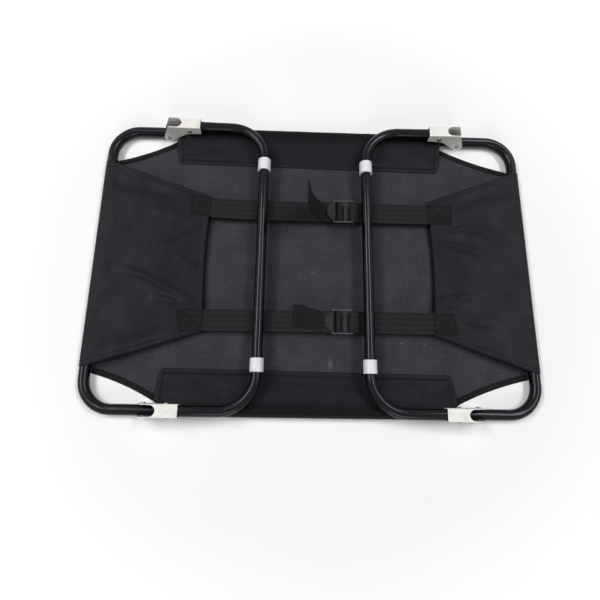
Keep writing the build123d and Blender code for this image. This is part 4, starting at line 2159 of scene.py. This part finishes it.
    def build_tail(self) -> None:
        """Makes the end of the strap that is threaded through the buckle."""
        node = name_of("strap_tail", self.y_side)
        low, high = span(node)
        up_x = high.x - self.thickness / 2
        down_x = up_x - self.middle_bar - self.thickness - 2 * self.gap
        over_z = self.tail_z + self.thickness + 2 * self.gap + self.middle_bar_thickness
        points = [(self.run_end + self.split_gap, self.strap_z), (up_x, self.strap_z), (up_x, over_z)]
        points += [(down_x, over_z), (down_x, self.tail_z), (self.tongue_tip, self.tail_z)]
        if self.y_side is YSide.FAR:
            points += self.curl((low.x, high.z))
        else:
            points.append((low.x + self.thickness / 2, self.tail_z))
        points += self.hem_back(points[-2], points[-1])
        track = Track.rounded(points, self.bend)
        end = track.length
        under_z, clear_z = (over_z - drop for drop in self.over_fade)
        swing_from, swing_to = (end - run for run in self.lay.tail_swing_run)
        tape = Tape(
            track,
            self.low,
            self.high,
            self.thickness,
            seams=self.cross_lines(end - share * self.tail_hem for share in self.tail_seams),
            # Painted shade on the tape deep in the buckle's slots and on the tail past the tongue.
            gloom=lambda x, z: max(
                (x > down_x - self.middle_bar_band) * (1 - smooth(under_z, clear_z, z)),
                self.tail_shade * (1 - smooth(self.tongue_tip - self.tail_fade, self.tongue_tip, x)),
            ),
            swing=lambda run: self.lay.tail_swing * smooth(swing_from, swing_to, run),
        )
        tail = tape.build(name_of("strap_end", self.y_side), Hold.FOLDED, name_of("buckle", self.y_side))
        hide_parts(node)
        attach(tail, self.body.value)
        STITCHING.build(name_of("tail_seam", self.y_side), tape.seams, tape.top, self.body)

    def curl(self, corner: Point) -> list[Point]:
        """Path of a tail that curls up and stands free.

        Args:
            corner: Corner of the tail's node that it curls up to.

        Returns:
            Points of the path after the tip of the buckle's tongue.
        """
        run = self.tongue_tip - corner[0]
        rise = corner[1] - self.tail_z
        lead, climb = self.curl_lead
        knots = [
            (self.tongue_tip, self.tail_z),
            (self.tongue_tip - self.curl_pull * run, self.tail_z),
            (corner[0] + lead * run, self.tail_z + climb * rise),
            corner,
        ]
        return [tuple(point)[:2] for point in interpolate_bezier(*knots, self.curl_points)][1:]

    def hem_back(self, before: Point, end: Point) -> list[Point]:
        """Path of a tail's last stretch, folded back on its upper side.

        Args:
            before: Point of the tail before its end.
            end: End of the tail.

        Returns:
            The fold and the end of the folded stretch.
        """
        way = (Vector(end) - Vector(before)).normalized()
        side = Vector((way.y, -way.x)) * (self.thickness + self.lay_gap)
        fold = Vector(end) + side
        return [tuple(fold), tuple(fold - way * self.tail_hem)]


# Metal and plastic


@dataclass
class Ironwork:
    """Tubes, brackets, rivets, feet and buckles, which keep their CAD shapes."""

    corners: tuple[tuple[XSide, YSide], ...] = tuple((x, y) for x in XSide for y in YSide)

    def at_corners(self, kind: str) -> list[str]:
        """Names of a kind of node at the four corners."""
        return [name_of(kind, x, y) for x, y in self.corners]

    def dress(self) -> None:
        """Gives each kind of node its finish."""
        tubes = [name_of(kind, x) for kind in ("end_bow", "leg_tube") for x in XSide]
        tubes += [name_of("side_rail", y) for y in YSide]
        dress_nodes(tubes, TUBE_PAINT.material)
        dress_nodes(self.at_corners("hinge_bracket"), BRACKET_PAINT.material)
        rivets = self.at_corners("pivot_rivet") + self.at_corners("leg_rivet")
        dress_nodes(rivets, RIVET_STEEL.material)
        dress_nodes(self.at_corners("foot_sleeve"), FOOT_PLASTIC.material)
        dress_nodes([name_of("buckle", y) for y in YSide], BUCKLE_PLASTIC.material)


# Studio


@dataclass(frozen=True)
class Lamp:
    """Soft lamp that looks at the middle of the cot, with its size across and up in metres."""

    name: str
    place: tuple[float, float, float]
    size: Point
    power: float

    def build(self) -> None:
        """Makes the lamp."""
        data = bpy.data.lights.new(self.name, "AREA")
        data.shape = "RECTANGLE"
        data.size, data.size_y = self.size
        data.energy = self.power
        lamp = bpy.data.objects.new(self.name, data)
        lamp.location = self.place
        lamp.rotation_euler = (-Vector(self.place)).to_track_quat("-Z", "Y").to_euler()
        bpy.context.scene.collection.objects.link(lamp)


@dataclass
class Studio:
    """White floor, soft lamps and the camera of the view from above."""

    lens: float = 24.0
    camera_place: tuple[float, float, float] = (-0.05139, -0.27243, 0.84686)
    camera_turn: tuple[float, float, float] = (0.22428, -0.03036, 0.01536)
    sensor_width: float = 36.0
    floor_half: float = 4000.0
    floor_cells: int = 4
    floor_drop: float = 0.4
    sky_level: float = 0.04
    lamps: tuple[Lamp, ...] = (
        Lamp("lamp_left", (-3.2, 1.0, 4.2), (3.6, 1.0), 152.0),
        Lamp("strip_left", (-1.9, 0.8, 4.6), (3.2, 0.25), 27.0),
        Lamp("lamp_right", (2.8, 1.0, 4.4), (3.6, 0.9), 115.0),
        Lamp("strip_right", (2.3, 0.8, 4.6), (3.0, 0.2), 14.0),
        Lamp("lamp_front", (0.2, -4.2, 2.0), (2.4, 2.0), 54.0),
    )

    def build(self) -> None:
        """Makes the floor, the sky, the lamps and the camera."""
        bm = bmesh.new()
        cells = self.floor_cells
        bmesh.ops.create_grid(bm, x_segments=cells, y_segments=cells, size=self.floor_half)
        bmesh.ops.translate(bm, vec=(0, 0, -self.floor_drop), verts=bm.verts)
        finish_mesh(bm, "floor", (FLOOR_WHITE.material,))
        for lamp in self.lamps:
            lamp.build()
        self.build_sky()
        self.build_camera()
        bpy.context.scene.view_settings.view_transform = "Standard"

    def build_sky(self) -> None:
        """Makes an even sky that looks white and lights softly."""
        world = bpy.data.worlds.new("sky")
        world.use_nodes = True
        bpy.context.scene.world = world
        nodes, links = world.node_tree.nodes, world.node_tree.links
        light = nodes["Background"]
        light.inputs["Color"].default_value = (1.0, 1.0, 1.0, 1.0)
        rays = nodes.new("ShaderNodeLightPath")
        seen = rays.outputs["Is Camera Ray"]
        for kind in ("Is Glossy Ray", "Is Transmission Ray"):
            either = nodes.new("ShaderNodeMath")
            either.operation = "MAXIMUM"
            links.new(seen, either.inputs[0])
            links.new(rays.outputs[kind], either.inputs[1])
            seen = either.outputs[0]
        level = nodes.new("ShaderNodeMapRange")
        level.inputs["To Min"].default_value = self.sky_level
        level.inputs["To Max"].default_value = 1.0
        links.new(seen, level.inputs["Value"])
        links.new(level.outputs["Result"], light.inputs["Strength"])

    def build_camera(self) -> None:
        """Makes the camera at the photograph's place."""
        data = bpy.data.cameras.new("camera")
        data.lens = self.lens
        data.sensor_width = self.sensor_width
        camera = bpy.data.objects.new("camera", data)
        camera.location = self.camera_place
        camera.rotation_euler = self.camera_turn
        bpy.context.scene.collection.objects.link(camera)
        bpy.context.scene.camera = camera


# How the cloth and the straps lie on each side


FLAP_FOLDS = {
    XSide.LEFT: (
        Fold((-425, -20), (-234, -107), 5.9, 8, 12),
        Fold((-345, -82), (-238, -112), 4.2, 7, 4),
        Fold((-345, 40), (-248, 84), 3.6, 9, -4),
        Fold((-360, 112), (-278, 108), 3.1, 8),
        Fold((-300, 10), (-240, -12), 3.1, 6),
        Fold((-450, 175), (-290, 138), -2.8, 12, 8),
        Fold((-450, -190), (-290, -150), -2.2, 12, -8),
    ),
    XSide.RIGHT: (
        Fold((258, 56), (372, 26), 3.9, 8, 4),
        Fold((270, 90), (400, 84), 3.1, 8),
        Fold((256, -84), (345, -66), 4.5, 7, 4),
        Fold((262, -104), (322, -74), 3.9, 6),
        Fold((308, -132), (380, -142), -3.1, 7),
        Fold((440, 60), (330, 112), 2.5, 12, 8),
        Fold((450, 180), (310, 140), -2.5, 12, -8),
    ),
}
TIP_BOWS = {XSide.LEFT: 8.0, XSide.RIGHT: 11.0}
SLEEVE_NARROWING = {YSide.FAR: (9.0, 2.5), YSide.NEAR: (-2.0, 4.0)}
STRAP_LAYS = {
    YSide.FAR: StrapLay(sewn=(47.5, 57.5), slant=(2.0, 3.6), swing=12.0),
    YSide.NEAR: StrapLay(sewn=(54.5, 51.0), slant=(8.7, -6.7), swing=-3.0, tail_swing=12.0),
}


# The whole cot


def main() -> None:
    """Builds the studio and every piece of the cot."""
    logging.basicConfig(level=logging.INFO, format="%(name)s: %(message)s")
    plan = Plan.from_frame()
    Studio().build()
    Ironwork().dress()
    boxes = [span(name_of("strap_run", y_side)) for y_side in YSide]
    straps = tuple((low.y, high.y) for low, high in boxes)
    flaps = {side: EndFlap(plan, side, straps, FLAP_FOLDS[side], TIP_BOWS[side]) for side in XSide}
    SleepingPanel(plan, tuple(flaps.values())).build()
    for y_side in YSide:
        SideSleeve(plan, y_side, SLEEVE_NARROWING[y_side]).build()
    for flap in flaps.values():
        flap.build()
    for y_side in YSide:
        StrapSet(plan, y_side, STRAP_LAYS[y_side]).build(flaps)


if __name__ == "__main__":
    main()
